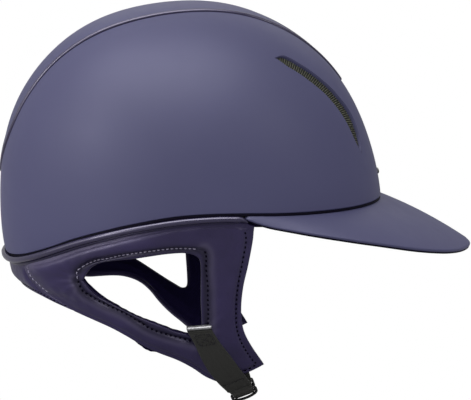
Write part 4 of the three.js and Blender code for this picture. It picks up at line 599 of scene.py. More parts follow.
# ------------------------------------------------------------------ leather harness
def samp(l, n): return even(uv(l), n)
def join_loop(parts): return np.vstack([p[:-1] for p in parts])
K = 6
top_edge = [[a, float(z_rim(a)) - 4.0] for a in np.arange(157.2, 75, -4.1)] + [[75, float(z_rim(75)) - 4.2], [72.5, 4.0], [70.3, 2.5], [68.7, 0.9], [67.2, -0.3]]
def outer_of(low): return join_loop([samp(top_edge, 14 * K), samp(ARM_FRONT, 9 * K), samp(TAB_END, 2 * K), samp(low, 10 * K), samp([low[-1]] + SEAM, 4 * K)])
def ear_of(low): return join_loop([samp(EAR_TOP, 14 * K), samp(EAR_FRONT, 9 * K), samp(EAR_CORNER, 2 * K), samp(low, 10 * K), samp([[131.9, -39.9], [132.2, -39.6], [131.9, -39.3]], 4 * K)])
def round_loop(P, it):
    for _ in range(it): P = P * 0.5 + (np.roll(P, 1, 0) + np.roll(P, -1, 0)) * 0.25
    return P
outer2, ear2 = outer_of(LOWER_EDGE), round_loop(ear_of(EAR_LOW), 4)
outer2l, ear2l = outer_of(LOWER_EDGE_LEFT), round_loop(ear_of(EAR_LOW_LEFT), 4)
def shift_loop(L, d):
    t = unit(np.roll(L, -1, 0) - np.roll(L, 1, 0)); s = np.stack([-t[:, 1], t[:, 0]], 1); return L + s * d
def area2(L): return 0.5 * np.sum(L[:, 0] * np.roll(L[:, 1], -1) - L[:, 1] * np.roll(L[:, 0], -1))
so, se = math.copysign(1, area2(outer2)), math.copysign(1, area2(ear2))
def seg_dist(P, L, closed=True):
    """Distance in the plane from points P [.., 2] to the line L."""
    A = L; B = np.roll(L, -1, 0) if closed else None
    if not closed: A, B = L[:-1], L[1:]
    Q = P.reshape(-1, 2); out = np.full(len(Q), 1e9)
    for i in range(0, len(Q), 3000):
        q = Q[i:i + 3000, None]; ab = (B - A)[None]; t = np.clip(((q - A[None]) * ab).sum(-1) / np.maximum((ab ** 2).sum(-1), 1e-9), 0, 1); out[i:i + 3000] = np.linalg.norm(q - (A[None] + ab * t[..., None]), axis=-1).min(1)
    return out.reshape(P.shape[:-1])
def mm2(P):
    """Plan angle and level, returned unchanged; no conversion to true millimetres is made."""
    return P * np.array([1.0, 1.0])
SEW_TOP = [(133.2, -32.4), (130.3, -28.1), (126.1, -24.5), (122.4, -23), (116.4, -20), (110.4, -17.8), (104.7, -16.5), (98.7, -15.1), (93, -15), (88.6, -15.1), (85.9, -16.2), (85.1, -18.2), (84.6, -30.6), (84, -41.5), (83.7, -52.4), (83.4, -58.2), (83.2, -70), (83.4, -79.5), (85.4, -82.6), (88.6, -82.6), (92, -81.2)]
SEW_LOW = [(92, -81.2), (101.9, -76.6), (108.2, -72.6), (112.1, -68.3), (117, -62.9), (121.6, -59.1), (126.7, -54.8), (130.1, -51), (132.6, -47), (134.1, -39.3), (133.2, -32.4)]
SEW_ARM = [(70.6, -3.5), (69.9, -10), (70.8, -25.3), (71.7, -38.7), (72, -50.2), (71.6, -60.4), (70.6, -72.3), (68.3, -81.5), (65.1, -89.4), (61.3, -96.8), (58.2, -102.1), (60.7, -105.4), (67.5, -108.7), (74.6, -112.0)]
SEW_EDGE = [(74.6, -112.0), (82.2, -107.2), (88.6, -101), (96, -94.8), (106, -88.2), (113.6, -81.8), (118.7, -76.6), (124.2, -71.4), (131.2, -66.2), (138, -61.6)]
SEW_SEAM = [(157.6 - 3.0, -33.5), (153.6, -37.9), (152.8, -43.2), (151.3, -46.4), (148.3, -51.6), (142.6, -56.2), (138.6, -60.6)]
def beside(l, d):
    """The line moved sideways in the plane of the outline."""
    P = samp(l, 60); t = unit(np.gradient(P, axis=0)); Q = P + np.stack([-t[:, 1], t[:, 0]], 1) * d; return [(a / 1.6, z) for a, z in Q]
SEW_LOW_LEFT = [(92, -81.2)] + beside(EAR_LOW_LEFT, -3.7)[6:] + [(133.2, -32.4)]
SEW_EDGE_LEFT = beside(LOWER_EDGE_LEFT, 3.3)
ease = np.r_[0, 0.004, 0.010, 0.018, 0.03, 0.05, np.linspace(0.08, 0.92, 40), 0.95, 0.97, 0.982, 0.990, 0.996, 1]
edge_roll = lambda d, r: r - np.sqrt(np.clip(r ** 2 - np.clip(r - d, 0, r) ** 2, 0, None))
def rise(d, a, b):
    """Swift start and slow finish between a and b, as stuffing under a sewn border."""
    t = np.clip((d - a) / (b - a), 0, 1); return 1 - (1 - t) ** 2.4
def tuck_in(a, z): return -1.6 * sstep(a, 146, 166) * (1 - sstep(-z, 46, 60))
def leather_side(name, outer, ear, sew_lines):
    P2 = outer[None] * (1 - ease[:, None, None]) + ear[None] * ease[:, None, None]
    d_edge = np.minimum(seg_dist(P2, outer), seg_dist(P2, ear)); d_sew = np.minimum.reduce([seg_dist(P2, samp(q, 160), False) for q in sew_lines])
    phi, zz = P2[..., 0] / 1.6, P2[..., 1]; P3 = on_harness(phi, zz); N3 = harness_normal(phi, zz)
    # no sewn border along the top, where the leather goes under the piping
    top = 1 - sstep(z_rim(np.clip(phi, 60, 180)) - 4.0 - zz, 1.0, 8.0); seam_d = seg_dist(P2, samp(SEAM, 80), False)
    inside = np.maximum(rise(d_edge, 3.3, 7.2), top * rise(d_edge, 0.6, 5.0) * (phi > 71))
    arm = 1 - sstep(phi, 84, 90); low_strip = sstep(phi, 92, 104) * (1 - sstep(zz, -62, -48))
    puff = 2.4 * inside * (1 - 0.2 * arm) * (1 - 0.5 * low_strip) * (0.30 + 0.70 * sstep(seam_d, 1.5, 16))
    groove = -0.85 * np.exp(-(d_sew / 0.80) ** 2) - 0.35 * np.exp(-(d_sew / 1.9) ** 2)
    wr = noise3(P3 * np.array([1, 1, 1.6]), 26, 3) * 0.22 * inside + noise3(P3, 9, 5) * 0.06 * inside + noise3(P3, 60, 8) * 0.2 * inside
    cre = 0.0
    for (c, r0, r1, n_, amp, seed) in (((131.9 * 1.6, -40.0), 4, 24, 13, 0.16, 1), ((87.0 * 1.6, -74.0), 4, 22, 11, 0.18, 2), ((142 * 1.6, -60.0), 4, 22, 11, 0.12, 4)):
        dx, dz = P2[..., 0] - c[0], P2[..., 1] - c[1]; rr_ = np.hypot(dx, dz); an = np.arctan2(dz, dx); cre = cre + amp * np.sin(an * n_ + 0.12 * rr_ + seed) * sstep(rr_, r0, r0 + 5) * (1 - sstep(rr_, r1 * 0.6, r1)) * inside
    dz = z_rim(np.clip(phi, 60, 180)) - zz; puff = puff + 1.9 * sstep(phi, 94, 110) * (1 - sstep(phi, 158, 172)) * sstep(dz, 5, 12) * (1 - sstep(dz, 13, 24)) * rise(d_sew, 0.5, 4.5)
    h_out = puff + groove + wr + cre - edge_roll(d_edge, 1.0) + tuck_in(phi, zz); h_in = -3.0 + edge_roll(d_edge, 1.0)
    return slab(name, P3 + N3 * h_out[..., None], P3 + N3 * h_in[..., None], wrap=True)
leather_r = leather_side("harness_leather_right", outer2, ear2, (SEW_TOP, SEW_LOW, SEW_ARM))
leather_l = leather_side("harness_leather_left_m", outer2l, ear2l, (SEW_TOP, SEW_LOW_LEFT, SEW_ARM))
# sewing follows the finished leather surface
from mathutils.bvhtree import BVHTree
def on_surface(ob, P, N, off=0.0, up=9.0, reach=30.0):
    me = ob.data; bv = BVHTree.FromPolygons([v.co for v in me.vertices], [p.vertices[:] for p in me.polygons]); out = []; nn = []
    for p, n in zip(P, N):
        h = bv.ray_cast(Vector((p + n * up) * MM), Vector(-n), reach * MM)
        if h[0] is None: out.append(p); nn.append(n)
        else: out.append(np.array(h[0]) / MM + n * off); nn.append(n)
    return np.array(out), np.array(nn)
def sewn(name, ob, lines, body="helmet", mat="thread", slot="leather_navy", **k):
    Ls, Ns = [], []
    for l in lines:
        q = samp(l, 260); a, z = q[:, 0] / 1.6, q[:, 1]; p, n = on_harness(a, z), harness_normal(a, z); p, n = on_surface(ob, p, n); Ls.append(p); Ns.append(n)
    s = stitches(name, Ls, Ns, **k); return done(s, mat, body)
def both_sides(name, right, left, mat, **k):
    """Sewing for the right leather, and the mirror image of sewing made for the left leather."""
    sewn(name + "_right", leather_r, right, mat=mat, **k); t = sewn(name + "_tmp", leather_l, left, mat=mat, **k); o = mirror_of(t, name + "_left"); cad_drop(t); done(o, mat); return o
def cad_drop(ob): bpy.data.objects.remove(ob, do_unlink=True)
TOP_LIGHT, TOP_DARK = SEW_TOP[1:10], SEW_TOP[10:]
both_sides("harness_stitching_light", [TOP_LIGHT, [SEW_LOW[9], SEW_LOW[10], SEW_TOP[1]], SEW_SEAM[:5]], [TOP_LIGHT, [(134.1, -39.3), (133.2, -32.4), SEW_TOP[1]], SEW_SEAM[:5]], "thread", length=2.0, gap=1.0, r=0.42, lift=0.14)
# near-black stitches: navy thread darkened as painted shade for its needle holes
both_sides("harness_stitching_dark", [TOP_DARK, SEW_LOW[:10], SEW_ARM], [TOP_DARK, SEW_LOW_LEFT[:-1], SEW_ARM], "navy_thread_hole_shade", length=1.9, gap=1.5, r=0.62, lift=0.0)
def paint_seam_shade(ob, lines, reach=3.2):
    """How close each point of the leather is to its sewing, 1 on it and 0 well away; the leather material uses it to
    paint shade along the sewing grooves.
    """
    from mathutils.kdtree import KDTree
    P = []
    for l in lines:
        q = samp(l, 200); P += list(on_harness(q[:, 0] / 1.6, q[:, 1]))
    kd = KDTree(len(P)); [kd.insert(Vector(p * MM), i) for i, p in enumerate(P)]; kd.balance(); at = ob.data.attributes.new("seam", "FLOAT", "POINT")
    at.data.foreach_set("value", [math.exp(-(max(kd.find(v.co)[2] / MM - 1.0, 0.0) / reach) ** 2) for v in ob.data.vertices])
# masks for the painted shade along the sewing
paint_seam_shade(leather_r, [SEW_TOP, SEW_LOW[:10]]); paint_seam_shade(leather_l, [SEW_TOP, SEW_LOW_LEFT[:-1]])
def paint_shoulder_highlights(ob, lines, ear):
    """The rounded shoulders of the padding, where a highlight is painted into the leather's colour: outside the front
    and lower sewing, and under the piping.
    """
    from mathutils.kdtree import KDTree
    def tree(L):
        P = []
        for q in L: P += list(on_harness(q[:, 0] / 1.6, q[:, 1]))
        kd = KDTree(len(P)); [kd.insert(Vector(p * MM), i) for i, p in enumerate(P)]; kd.balance(); return kd
    ks = tree([samp(l, 200) for l in lines]); ke = tree([ear]); V = np.array([v.co for v in ob.data.vertices]) / MM; ph = np.degrees(np.arctan2(-V[:, 1], V[:, 0])); ph = np.where(ph < 0, ph + 360, ph); out = []
    for p, a in zip(V, ph):
        q = Vector(p * MM); dS, dE = ks.find(q)[2] / MM, ke.find(q)[2] / MM; side = float(sstep(np.array(dE), 3.4, 4.6)); s1 = side * math.exp(-((dS - 3.6) / 2.2) ** 2); dz_ = float(z_rim(np.clip(np.array(a), 60, 180)) - p[2])
        s2 = float(sstep(np.array(a), 100, 122) * (1 - sstep(np.array(a), 150, 164))) * math.exp(-((dz_ - 7.0) / 3.6) ** 2); out.append(min(s1 * 0.55 + s2 * 0.85, 1.0))
    at = ob.data.attributes.new("painted_shoulder_highlight", "FLOAT", "POINT"); at.data.foreach_set("value", out)
# masks for the painted highlight on the padding's shoulders
paint_shoulder_highlights(leather_r, [TOP_DARK, SEW_LOW[:10]], ear2); paint_shoulder_highlights(leather_l, [TOP_DARK, SEW_LOW_LEFT[:-1]], ear2l)
leather_m = leather_l; leather_l = mirror_of(leather_m, "harness_leather_left"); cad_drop(leather_m)
done(leather_r, "leather", replaces=["side_harness_right"]); done(leather_l, "leather", replaces=["side_harness_left"])

# lining inside the harness, soft and wrinkled, puffing out under the lower edge
def lining_side(name, outer, ear, bulge):
    lo = round_loop(shift_loop(outer, 2.0 * so), 6); le = round_loop(shift_loop(ear, -2.0 * se), 8); low = lo[:, 1] < -55
    if bulge:
        # the padding hangs out below the leather: a deep fold, then shallower waves towards the tab
        a = lo[:, 0] / 1.6; x = np.interp(a, [82, 86, 89.8, 92.8, 95.8, 97.6, 100.6, 103, 105.7, 108.2, 110.2, 113.6, 117, 119.6, 122.4, 125], [0, 3.8, 4.2, 3.8, 3.6, 3.9, 5.3, 5.3, 4.3, 6.4, 7.2, 5.8, 4.7, 3.5, 1.5, 0]) * low; x = round_loop(x[:, None], 3)[:, 0]
        lo = lo + np.stack([x * 0.30, -x * 0.92], 1)
    e = np.r_[0, 0.01, 0.03, 0.06, np.linspace(0.1, 0.9, 30), 0.94, 0.97, 0.99, 1]
    Q2 = lo[None] * (1 - e[:, None, None]) + le[None] * e[:, None, None]; ph, zq = Q2[..., 0] / 1.6, Q2[..., 1]; dq = np.minimum(seg_dist(Q2, lo), seg_dist(Q2, le))
    Pq, Nq = on_harness(ph, zq), harness_normal(ph, zq); bul = np.exp(-((ph - 114) / 11) ** 2) * np.exp(-((dq - 2.0) / 5) ** 2) * (zq < -50) if bulge else 0.0 * ph
    wv = noise3(Pq, 11, 21) * 0.22 + noise3(Pq, 5, 22) * 0.10; fold = bul * (0.9 * np.sin(Q2[..., 0] * 1.15 + 0.4 * Q2[..., 1]) + 1.0)
    ho = -5.4 - edge_roll(dq, 1.2) + wv * sstep(dq, 0, 2) + bul * 2.2 + fold * 0.3; hi = -8.2 + edge_roll(dq, 1.2) - 1.6 * sstep(dq, 1.5, 9) + wv + fold * 0.3 + bul * 1.0
    return slab(name, Pq + Nq * ho[..., None], Pq + Nq * hi[..., None], wrap=True)
lin_r = lining_side("harness_lining_soft_right", outer2, ear2, True); t = lining_side("lining_tmp", outer2l, ear2l, False); lin_l = mirror_of(t, "harness_lining_soft_left"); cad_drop(t)
done(lin_r, "lining", replaces=["harness_lining_right"]); done(lin_l, "lining", replaces=["harness_lining_left"])
# headband edge tucked up behind the rim, closing the gap between shell and leather
aa_ = np.linspace(61.5, 180, 170); lowz = z_rim(aa_) - (10.4 - 1.6 * sstep(aa_, 66, 74)); hb_ = []
for t in (0, 0.06, 0.2, 0.4, 0.6, 0.8, 0.94, 1.0):
    z = (z_rim(aa_) + 1.0) * (1 - t) + lowz * t; up_ = shell_at(aa_, z, 5.9); dn_ = on_harness(aa_, z, 3.4); k = sstep(np.full(len(aa_), t), 0.15, 0.75)[:, None]; hb_.append(up_ * (1 - k) + dn_ * k)
hb_ = np.array(hb_); inn_ = hb_.copy(); c0 = np.array([HX, 0, 0]); dirn = unit((hb_ - c0) * np.array([1, 1, 0])); inn_ = hb_ - dirn * (0.9 - 0.5 * np.array([1, 0.4, 0, 0, 0, 0, 0.4, 1.0]))[:, None, None]
join2 = lambda G: np.concatenate([G, flip(G[:, :-1][:, ::-1])], axis=1)
done(slab("headband_edge", join2(hb_), join2(inn_), merge=0.01), "lining")

# nape panel: one leather piece across the back, with a sewn border
NQ = 60
seamN = [[a + 0.10, z + 0.05] for a, z in SEAM]
half_top = np.vstack([samp(seamN, 5 * 8), samp([[157.3, -34.3], [164, float(z_rim(164)) - 4], [172, float(z_rim(172)) - 4], [180, float(z_rim(180)) - 4]], 4 * 8)[1:]])
half_low = samp([[140.2, -63.25]] + NAPE_LOW, 9 * 8)
tv = np.r_[0, 0.01, 0.025, 0.05, 0.08, np.linspace(0.13, 0.87, 22), 0.92, 0.95, 0.975, 0.99, 1]
H2 = half_top[None] * (1 - tv[:, None, None]) + half_low[None] * tv[:, None, None]; bnd = np.vstack([half_top, half_low[::-1]])
bd = bnd.copy(); full = H2; dN = np.minimum(seg_dist(full, half_top, False), seg_dist(full, half_low, False)); pn, zn = full[..., 0] / 1.6, full[..., 1]
Pn, Nn = on_harness(pn, zn), harness_normal(pn, zn)
insd = rise(dN, 2.6, 8.0); tuck = sstep(z_rim(np.clip(pn, 60, 180)) - 4.0 - zn, 0.5, 16.0); hN = 1.5 * insd * (0.15 + 0.85 * tuck) - 0.5 * np.exp(-((dN - 3.0) / 0.7) ** 2) * tuck + (noise3(Pn, 22, 31) * 0.25 + noise3(Pn, 8, 32) * 0.08) * insd
fl = lambda G: np.concatenate([G, flip(G[:, :-1][:, ::-1])], axis=1)
hN = hN + tuck_in(pn, zn); A = Pn + Nn * (hN - edge_roll(dN, 0.9))[..., None]; B = Pn + Nn * (-3.0 + edge_roll(dN, 0.9))[..., None]
nape = slab("nape_leather", fl(A), fl(B), merge=0.02); done(nape, "leather", replaces=["nape_panel"])
nl = samp([[142.2, -60.6], [144.6, -59.0], [147.6, -57.4], [151, -55.6], [155, -53.9], [160, -52.7], [168, -51.9], [180, -51.5]], 200); nt = samp([[143.2, -60.0], [146.4, -56.6], [151.6, -51.4], [155.3, -46.6], [157.0, -42.6], [158.4, -38.0], [160.5, -35.6], [166, -36.9], [173, -37.2], [180, -37.0]], 200)
Ls, Ns = [], []
for q in (nl,):
    for sgn in (1, -1):
        a, z = q[:, 0] / 1.6, q[:, 1]; p, n = on_harness(a, z), harness_normal(a, z)
        if sgn < 0: p, n = flip(p), flip(n)
        p, n = on_surface(nape, p, n); Ls.append(p); Ns.append(n)
# the nape's near-black stitches: navy thread darkened as painted shade for its needle holes
done(stitches("nape_stitching", Ls, Ns, length=2.0, gap=1.2, r=0.40, lift=0.02), "navy_thread_hole_shade")

# nape pad: three sewn channels
tv = np.r_[0, 0.015, 0.04, 0.08, np.linspace(0.13, 0.87, 20), 0.92, 0.96, 0.985, 1]; aa = np.linspace(158.3, 201.7, 90)
bb = np.where(aa > 180, 360 - aa, aa); zt = z_rim(bb) - 5.3; G2 = np.stack([np.stack([bb, zt + (-52.6 - zt) * t], 1) for t in tv])
sg = np.where(aa > 180, -1.0, 1.0)[None, :, None]; Pp = on_harness(G2[..., 0], G2[..., 1]); Np = harness_normal(G2[..., 0], G2[..., 1]); mir = np.concatenate([np.ones_like(sg), sg, np.ones_like(sg)], -1); Pp, Np = Pp * mir, Np * mir
u = np.abs((aa - 180) / 21.7)[None]; v = np.abs(2 * tv - 1)[:, None]; crown_ = (1 - v ** 4) * (1 - u ** 6); chan = np.minimum(np.abs(u - 0.36), 1)
dome_ = 4.4 * crown_ ** 0.6 - 1.5 * np.exp(-(np.abs(u - 0.34) / 0.035) ** 2) * crown_ + noise3(Pp, 13, 41) * 0.25 * crown_
edg = 1.3 * (1 - np.clip(crown_ * 6, 0, 1))
npad = slab("nape_pad_soft", Pp - Np * (4.05 + edg)[..., None], Pp - Np * (6.6 - edg * 0.9 + dome_)[..., None]); done(npad, "pad", replaces=["nape_pad"])

# gloss piping: the main roll, and a smaller welt below it
def roll_line(drop, dep, rear_dep, n=170):
    P = []
    for a, z in PIPE:
        k = min(max((a - 125) / 35, 0), 1); f = min(max((a - 70.4) / 5.0, 0), 1); P.append(list(shell_at(a, z - drop * (0.25 + 0.75 * f), dep + (rear_dep - dep) * k)))
    r_ = even(P, n); return r_, np.interp(np.linspace(0, 1, n + 1), [0, 0.55, 1], [0, 0.25, 1])
def roll(name, drop, dep, rear_dep, r0, r1):
    P, k = roll_line(drop, dep, rear_dep); rad = r0 + (r1 - r0) * k; rad[:7] *= [0.12, 0.34, 0.54, 0.70, 0.83, 0.92, 0.98]; P = np.vstack([P, flip(P[:-1][::-1])]); rad = np.r_[rad, rad[:-1][::-1]]
    return tube(name, P, np.stack([circle(float(q), 22) for q in rad]))
done(roll("piping", 1.35, -0.5, -1.3, 2.0, 2.15), "gloss", replaces=["rim_piping"])
done(roll("piping_welt", 4.1, 1.2, 0.9, 1.0, 1.5), "gloss_soft")

# ------------------------------------------------------------------ retention webbing inside the harness
def web_strip(name, path, w, d0, d1, n=90):
    c = even(uv(path), n); t = unit(np.gradient(c, axis=0)); s = np.stack([-t[:, 1], t[:, 0]], 1); us_ = np.r_[-1, -0.97, -0.9, np.linspace(-0.8, 0.8, 9), 0.9, 0.97, 1]
    G = np.stack([c + s * (u * w / 2) for u in us_]); e = np.where(np.abs(us_) > 0.95, 0.3, np.where(np.abs(us_) > 0.85, 0.08, 0)) * 1.0; e[0] = e[-1] = 0.5
    P = on_harness(G[..., 0] / 1.6, G[..., 1]); N = harness_normal(G[..., 0] / 1.6, G[..., 1]); e = e[:, None]
    ob = slab(name, P - N * (d0 + e)[..., None], P - N * (d1 - e)[..., None]); L = np.r_[0, np.cumsum(np.linalg.norm(np.diff(c, axis=0), axis=1))]
    return web_uv(ob, P, us_ * w / 2, L)
def web_uv(ob, P, u_mm, v_mm):
    """Across and along, in millimetres, from the strap's own grid."""
    from mathutils.kdtree import KDTree
    R, C = P.shape[:2]; kd = KDTree(R * C); fl_ = P.reshape(-1, 3)
    for i in range(R * C): kd.insert(fl_[i], i)
    kd.balance(); me = ob.data; lay = me.uv_layers.new(name="weave"); cache = {}
    data = np.zeros(len(me.loops) * 2); vi = np.zeros(len(me.loops), int); me.loops.foreach_get("vertex_index", vi)
    uvs = np.zeros((len(me.vertices), 2))
    for k, v in enumerate(me.vertices):
        _, i, _ = kd.find(np.array(v.co) / MM); uvs[k] = (u_mm[i // C], v_mm[i % C])
    lay.data.foreach_set("uv", uvs[vi].reshape(-1)); return ob
WEB_FRONT = [[78, 9.6], [78, -20], [78, -45], [78, -64], [79, -84]]
WEB_REAR = [[147.4, -21.6], [146.4, -28], [143, -41], [138, -50], [125, -63.5], [113, -74], [103, -82.5], [95, -88]]
WEB_REAR_LEFT = [[147.4, -21.6], [146.4, -28], [143, -41], [138, -50], [130, -56.5], [121, -58.8], [113, -62.2], [106.5, -68.5], [101, -76.5], [95, -86.5]]
for nm, path, left_path, w in (("front", WEB_FRONT, WEB_FRONT, 13), ("rear", WEB_REAR, WEB_REAR_LEFT, 8.5)):
    o = web_strip(f"inner_web_{nm}_right", path, w, 3.95, 4.95); t = web_strip("web_tmp", left_path, w, 3.95, 4.95); o2 = mirror_of(t, f"inner_web_{nm}_left"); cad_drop(t)
    done(o, "web", replaces=[f"retention_web_{nm}_right"]); done(o2, "web", replaces=[f"retention_web_{nm}_left"])
def lathe(name, prof, o, ax, n=28, slot_w=0.0, **k):
    ax = unit(np.array(ax)); u = unit(np.cross(ax, [0, 0, 1.0]) if abs(ax[2]) < 0.9 else np.cross(ax, [1.0, 0, 0])); v = np.cross(ax, u); th_ = np.linspace(0, 2 * math.pi, n, endpoint=False); V = []
    for r, h in prof: V += [o + ax * h + u * r * math.cos(t) + v * r * math.sin(t) for t in th_]
    F = []
    for i in range(len(prof) - 1):
        for j in range(n): F.append((i * n + j, i * n + (j + 1) % n, (i + 1) * n + (j + 1) % n, (i + 1) * n + j))
    F.append(tuple(range(n))[::-1]); F.append(tuple((len(prof) - 1) * n + j for j in range(n)))
    return mesh_obj(name, V, F, angle=40, **k)
for nm, (a, z) in (("front", (78, 6.2)), ("rear", (147, -24.2))):
    h0, h1 = on_harness(a, z, 3.9 - 3.2), on_harness(a, z, 5.0 + 2.2); ax = unit(h1 - h0); se_ = on_harness(a, z, 3.75); hd = on_harness(a, z, 6.5); L = float(np.linalg.norm(hd - se_))
    prof = [(1.2, 0), (1.45, 0.25), (1.45, L), (2.4, L + 0.02), (2.5, L + 0.2), (2.45, L + 0.75), (2.2, L + 1.1), (1.7, L + 1.28), (1.15, L + 1.3), (1.1, L + 0.8), (0.6, L + 0.75)]
    o = lathe(f"screw_{nm}_right", prof, se_, ax); o2 = mirror_of(o, f"screw_{nm}_left")
    done(o, "steel", replaces=[f"harness_screw_{nm}_right"]); done(o2, "steel", replaces=[f"harness_screw_{nm}_left"])

# ------------------------------------------------------------------ comfort pads
def polar(az, el, depth):
    a, e = np.radians(az), np.radians(el); D = np.stack([np.cos(e) * np.cos(a), np.cos(e) * np.sin(a), np.sin(e)], -1); return on_shell(SHELL_C + D, depth)
def soft_pad(name, node, az0, az1, el0, el1, nu, nv, channels=(), seed=0, thick=6.0, bar=0.5):
    us_ = np.linspace(0, 1, nu); vs_ = np.linspace(0, 1, nv); U, Vv = np.meshgrid(us_, vs_); wu = abs(az1 - az0) * 1.75; wv_ = abs(el1 - el0) * 1.9
    # corners drawn in, sides pulled between them
    cu, cv = 2 * U - 1, 2 * Vv - 1; sq = 1 - 0.035 * (1 - np.abs(cu) ** 4) * 0; rcorner = 7.0
    ex = (np.abs(cu) * wu / 2) - (wu / 2 - rcorner); ey = (np.abs(cv) * wv_ / 2) - (wv_ / 2 - rcorner); inx = (ex > 0) & (ey > 0); rr_ = np.hypot(np.maximum(ex, 0), np.maximum(ey, 0)); mx = np.maximum(ex, ey); f = np.where(inx & (rr_ > 1e-6), np.maximum(mx, 0) / np.maximum(rr_, 1e-6), 1.0)
    nx = np.where(inx, np.sign(cu) * (wu / 2 - rcorner + np.maximum(ex, 0) * f), cu * wu / 2); ny = np.where(inx, np.sign(cv) * (wv_ / 2 - rcorner + np.maximum(ey, 0) * f), cv * wv_ / 2)
    pull = 1 - 0.02 * (1 - np.abs(cu) ** 2) * np.abs(cv) - 0.0; cu2, cv2 = nx / (wu / 2), ny / (wv_ / 2) * (1 - 0.05 * (1 - cu ** 2) * np.abs(cv) ** 3)
    az = (az0 + az1) / 2 + cu2 * (az1 - az0) / 2; el = (el0 + el1) / 2 + cv2 * (el1 - el0) / 2
    dx = np.minimum(wu / 2 - np.abs(nx), wu); dy = np.minimum(wv_ / 2 - np.abs(ny), wv_); de = np.minimum(dx, dy); ch = np.minimum(1, 0) + de
    prof_ = (1 - np.clip(1 - de / 9.0, 0, 1) ** 2.3) ** 0.7; body = thick * (0.28 + 0.80 * prof_)
    P0 = polar(az, el, 26.0); groove_ = 0.0
    for kind, pos in channels:
        q = np.abs((cu2 if kind == "u" else cv2) - pos) * (wu / 2 if kind == "u" else wv_ / 2); groove_ = groove_ + 2.4 * np.exp(-(q / 1.5) ** 2) * prof_ + 0.8 * np.exp(-(q / 4.0) ** 2) * prof_
    body = body - groove_ + noise3(P0, 15, seed) * 0.30 * prof_ + noise3(P0, 6, seed + 1) * 0.08 * prof_; rimr = edge_roll(de, 0.8)
    inn = np.stack([polar(az[i], el[i], 26.0 + np.maximum(body[i], 1.2) - rimr[i] * 0.5) for i in range(nv)]); out_ = np.stack([polar(az[i], el[i], 26.05 + rimr[i] * 0.6) for i in range(nv)])
    ob = slab(name, out_, inn, merge=0.01); done(ob, "pad", replaces=[node])
    # squarish outline round the pad; the function is not called
    def ring_at(k):
        t = np.linspace(0, 2 * math.pi, 220, endpoint=False); sx = np.sign(np.cos(t)) * np.abs(np.cos(t)) ** 0.35; sy = np.sign(np.sin(t)) * np.abs(np.sin(t)) ** 0.35; return sx, sy
    return ob, (az, el, inn)
pads = [("brow_pad_soft", "brow_pad", -52, 52, -5.5, 13, 120, 26, (("u", -0.5), ("u", 0.0), ("u", 0.5)), 51),
        ("side_pad_soft_right", "side_pad_right", -116, -60, -4, 22, 76, 40, (("u", 0.0),), 52), ("side_pad_soft_left", "side_pad_left", 60, 116, -4, 22, 76, 40, (("u", 0.0),), 53),
        ("rear_pad_soft", "rear_pad", 128, 232, -9, 12, 120, 30, (("u", -0.4), ("u", 0.4)), 54)]
for nm, node, a0, a1, e0, e1, nu, nv, chs, sd in pads:
    ob, (az, el, inn) = soft_pad(nm, node, a0, a1, e0, e1, nu, nv, chs, sd)
    # stitched border, 2.6 mm in from the edge
    i0, i1, j0, j1 = 2, nv - 3, 2, nu - 3; path = np.vstack([inn[i0, j0:j1], inn[i0:i1, j1], inn[i1, j0 + 1:j1 + 1][::-1], inn[i0 + 1:i1 + 1, j0][::-1]])
    nrm = -shell_normal(on_shell(path)); done(stitches(nm + "_sewing", [np.vstack([path, path[:1]])], [np.vstack([nrm, nrm[:1]])], length=2.2, gap=1.2, r=0.26, lift=0.1), "thread_dark")
# crown pad: round cushion with sewn spokes
el_ = np.r_[50, 50.4, 51, 52, 53.5, np.linspace(55.5, 88.5, 20), 89.7]; azs = np.linspace(0, 360, 120, endpoint=False); AZ, EL = np.meshgrid(azs, el_)
de = (EL - 50) * 1.9; prof_ = (1 - np.clip(1 - de / 9.0, 0, 1) ** 2.3) ** 0.7; sp = np.abs(((AZ + 30) % 60) - 30) * np.pi / 180 * (90 - EL) * 1.9; P0 = polar(AZ, EL, 26.7)
body = 6.0 * (0.25 + 0.82 * prof_) - 2.0 * np.exp(-(sp / 1.6) ** 2) * prof_ * sstep(90 - EL, 6, 12) - 2.2 * np.exp(-((90 - EL) * 1.9 / 4.0) ** 2) + noise3(P0, 14, 61) * 0.28 * prof_
rimr = edge_roll(de, 0.8); cin = polar(AZ, EL, 26.7 + np.maximum(body, 1.2) - rimr * 0.5); cout = polar(AZ, EL, 26.75 + rimr * 0.6)
def capped2(name, A, B, **k):
    R, C = A.shape[:2]; V = np.vstack([A.reshape(-1, 3), B.reshape(-1, 3)]); F = []
    for r_ in range(R - 1):
        for c in range(C): F.append((r_ * C + c, r_ * C + (c + 1) % C, (r_ + 1) * C + (c + 1) % C, (r_ + 1) * C + c)); F.append(tuple(R * C + x for x in (r_ * C + c, (r_ + 1) * C + c, (r_ + 1) * C + (c + 1) % C, r_ * C + (c + 1) % C)))
    for c in range(C): F.append((c, R * C + c, R * C + (c + 1) % C, (c + 1) % C))
    F.append(tuple((R - 1) * C + c for c in range(C))); F.append(tuple(R * C + (R - 1) * C + c for c in range(C))[::-1])
    return mesh_obj(name, V, F, **k)
cp = capped2("crown_pad_soft", cout, cin); done(cp, "pad", replaces=["crown_pad"])
path = cin[4]; nrm = -shell_normal(on_shell(path)); done(stitches("crown_pad_sewing", [np.vstack([path, path[:1]])], [np.vstack([nrm, nrm[:1]])], length=2.2, gap=1.2, r=0.26, lift=0.1), "thread_dark")
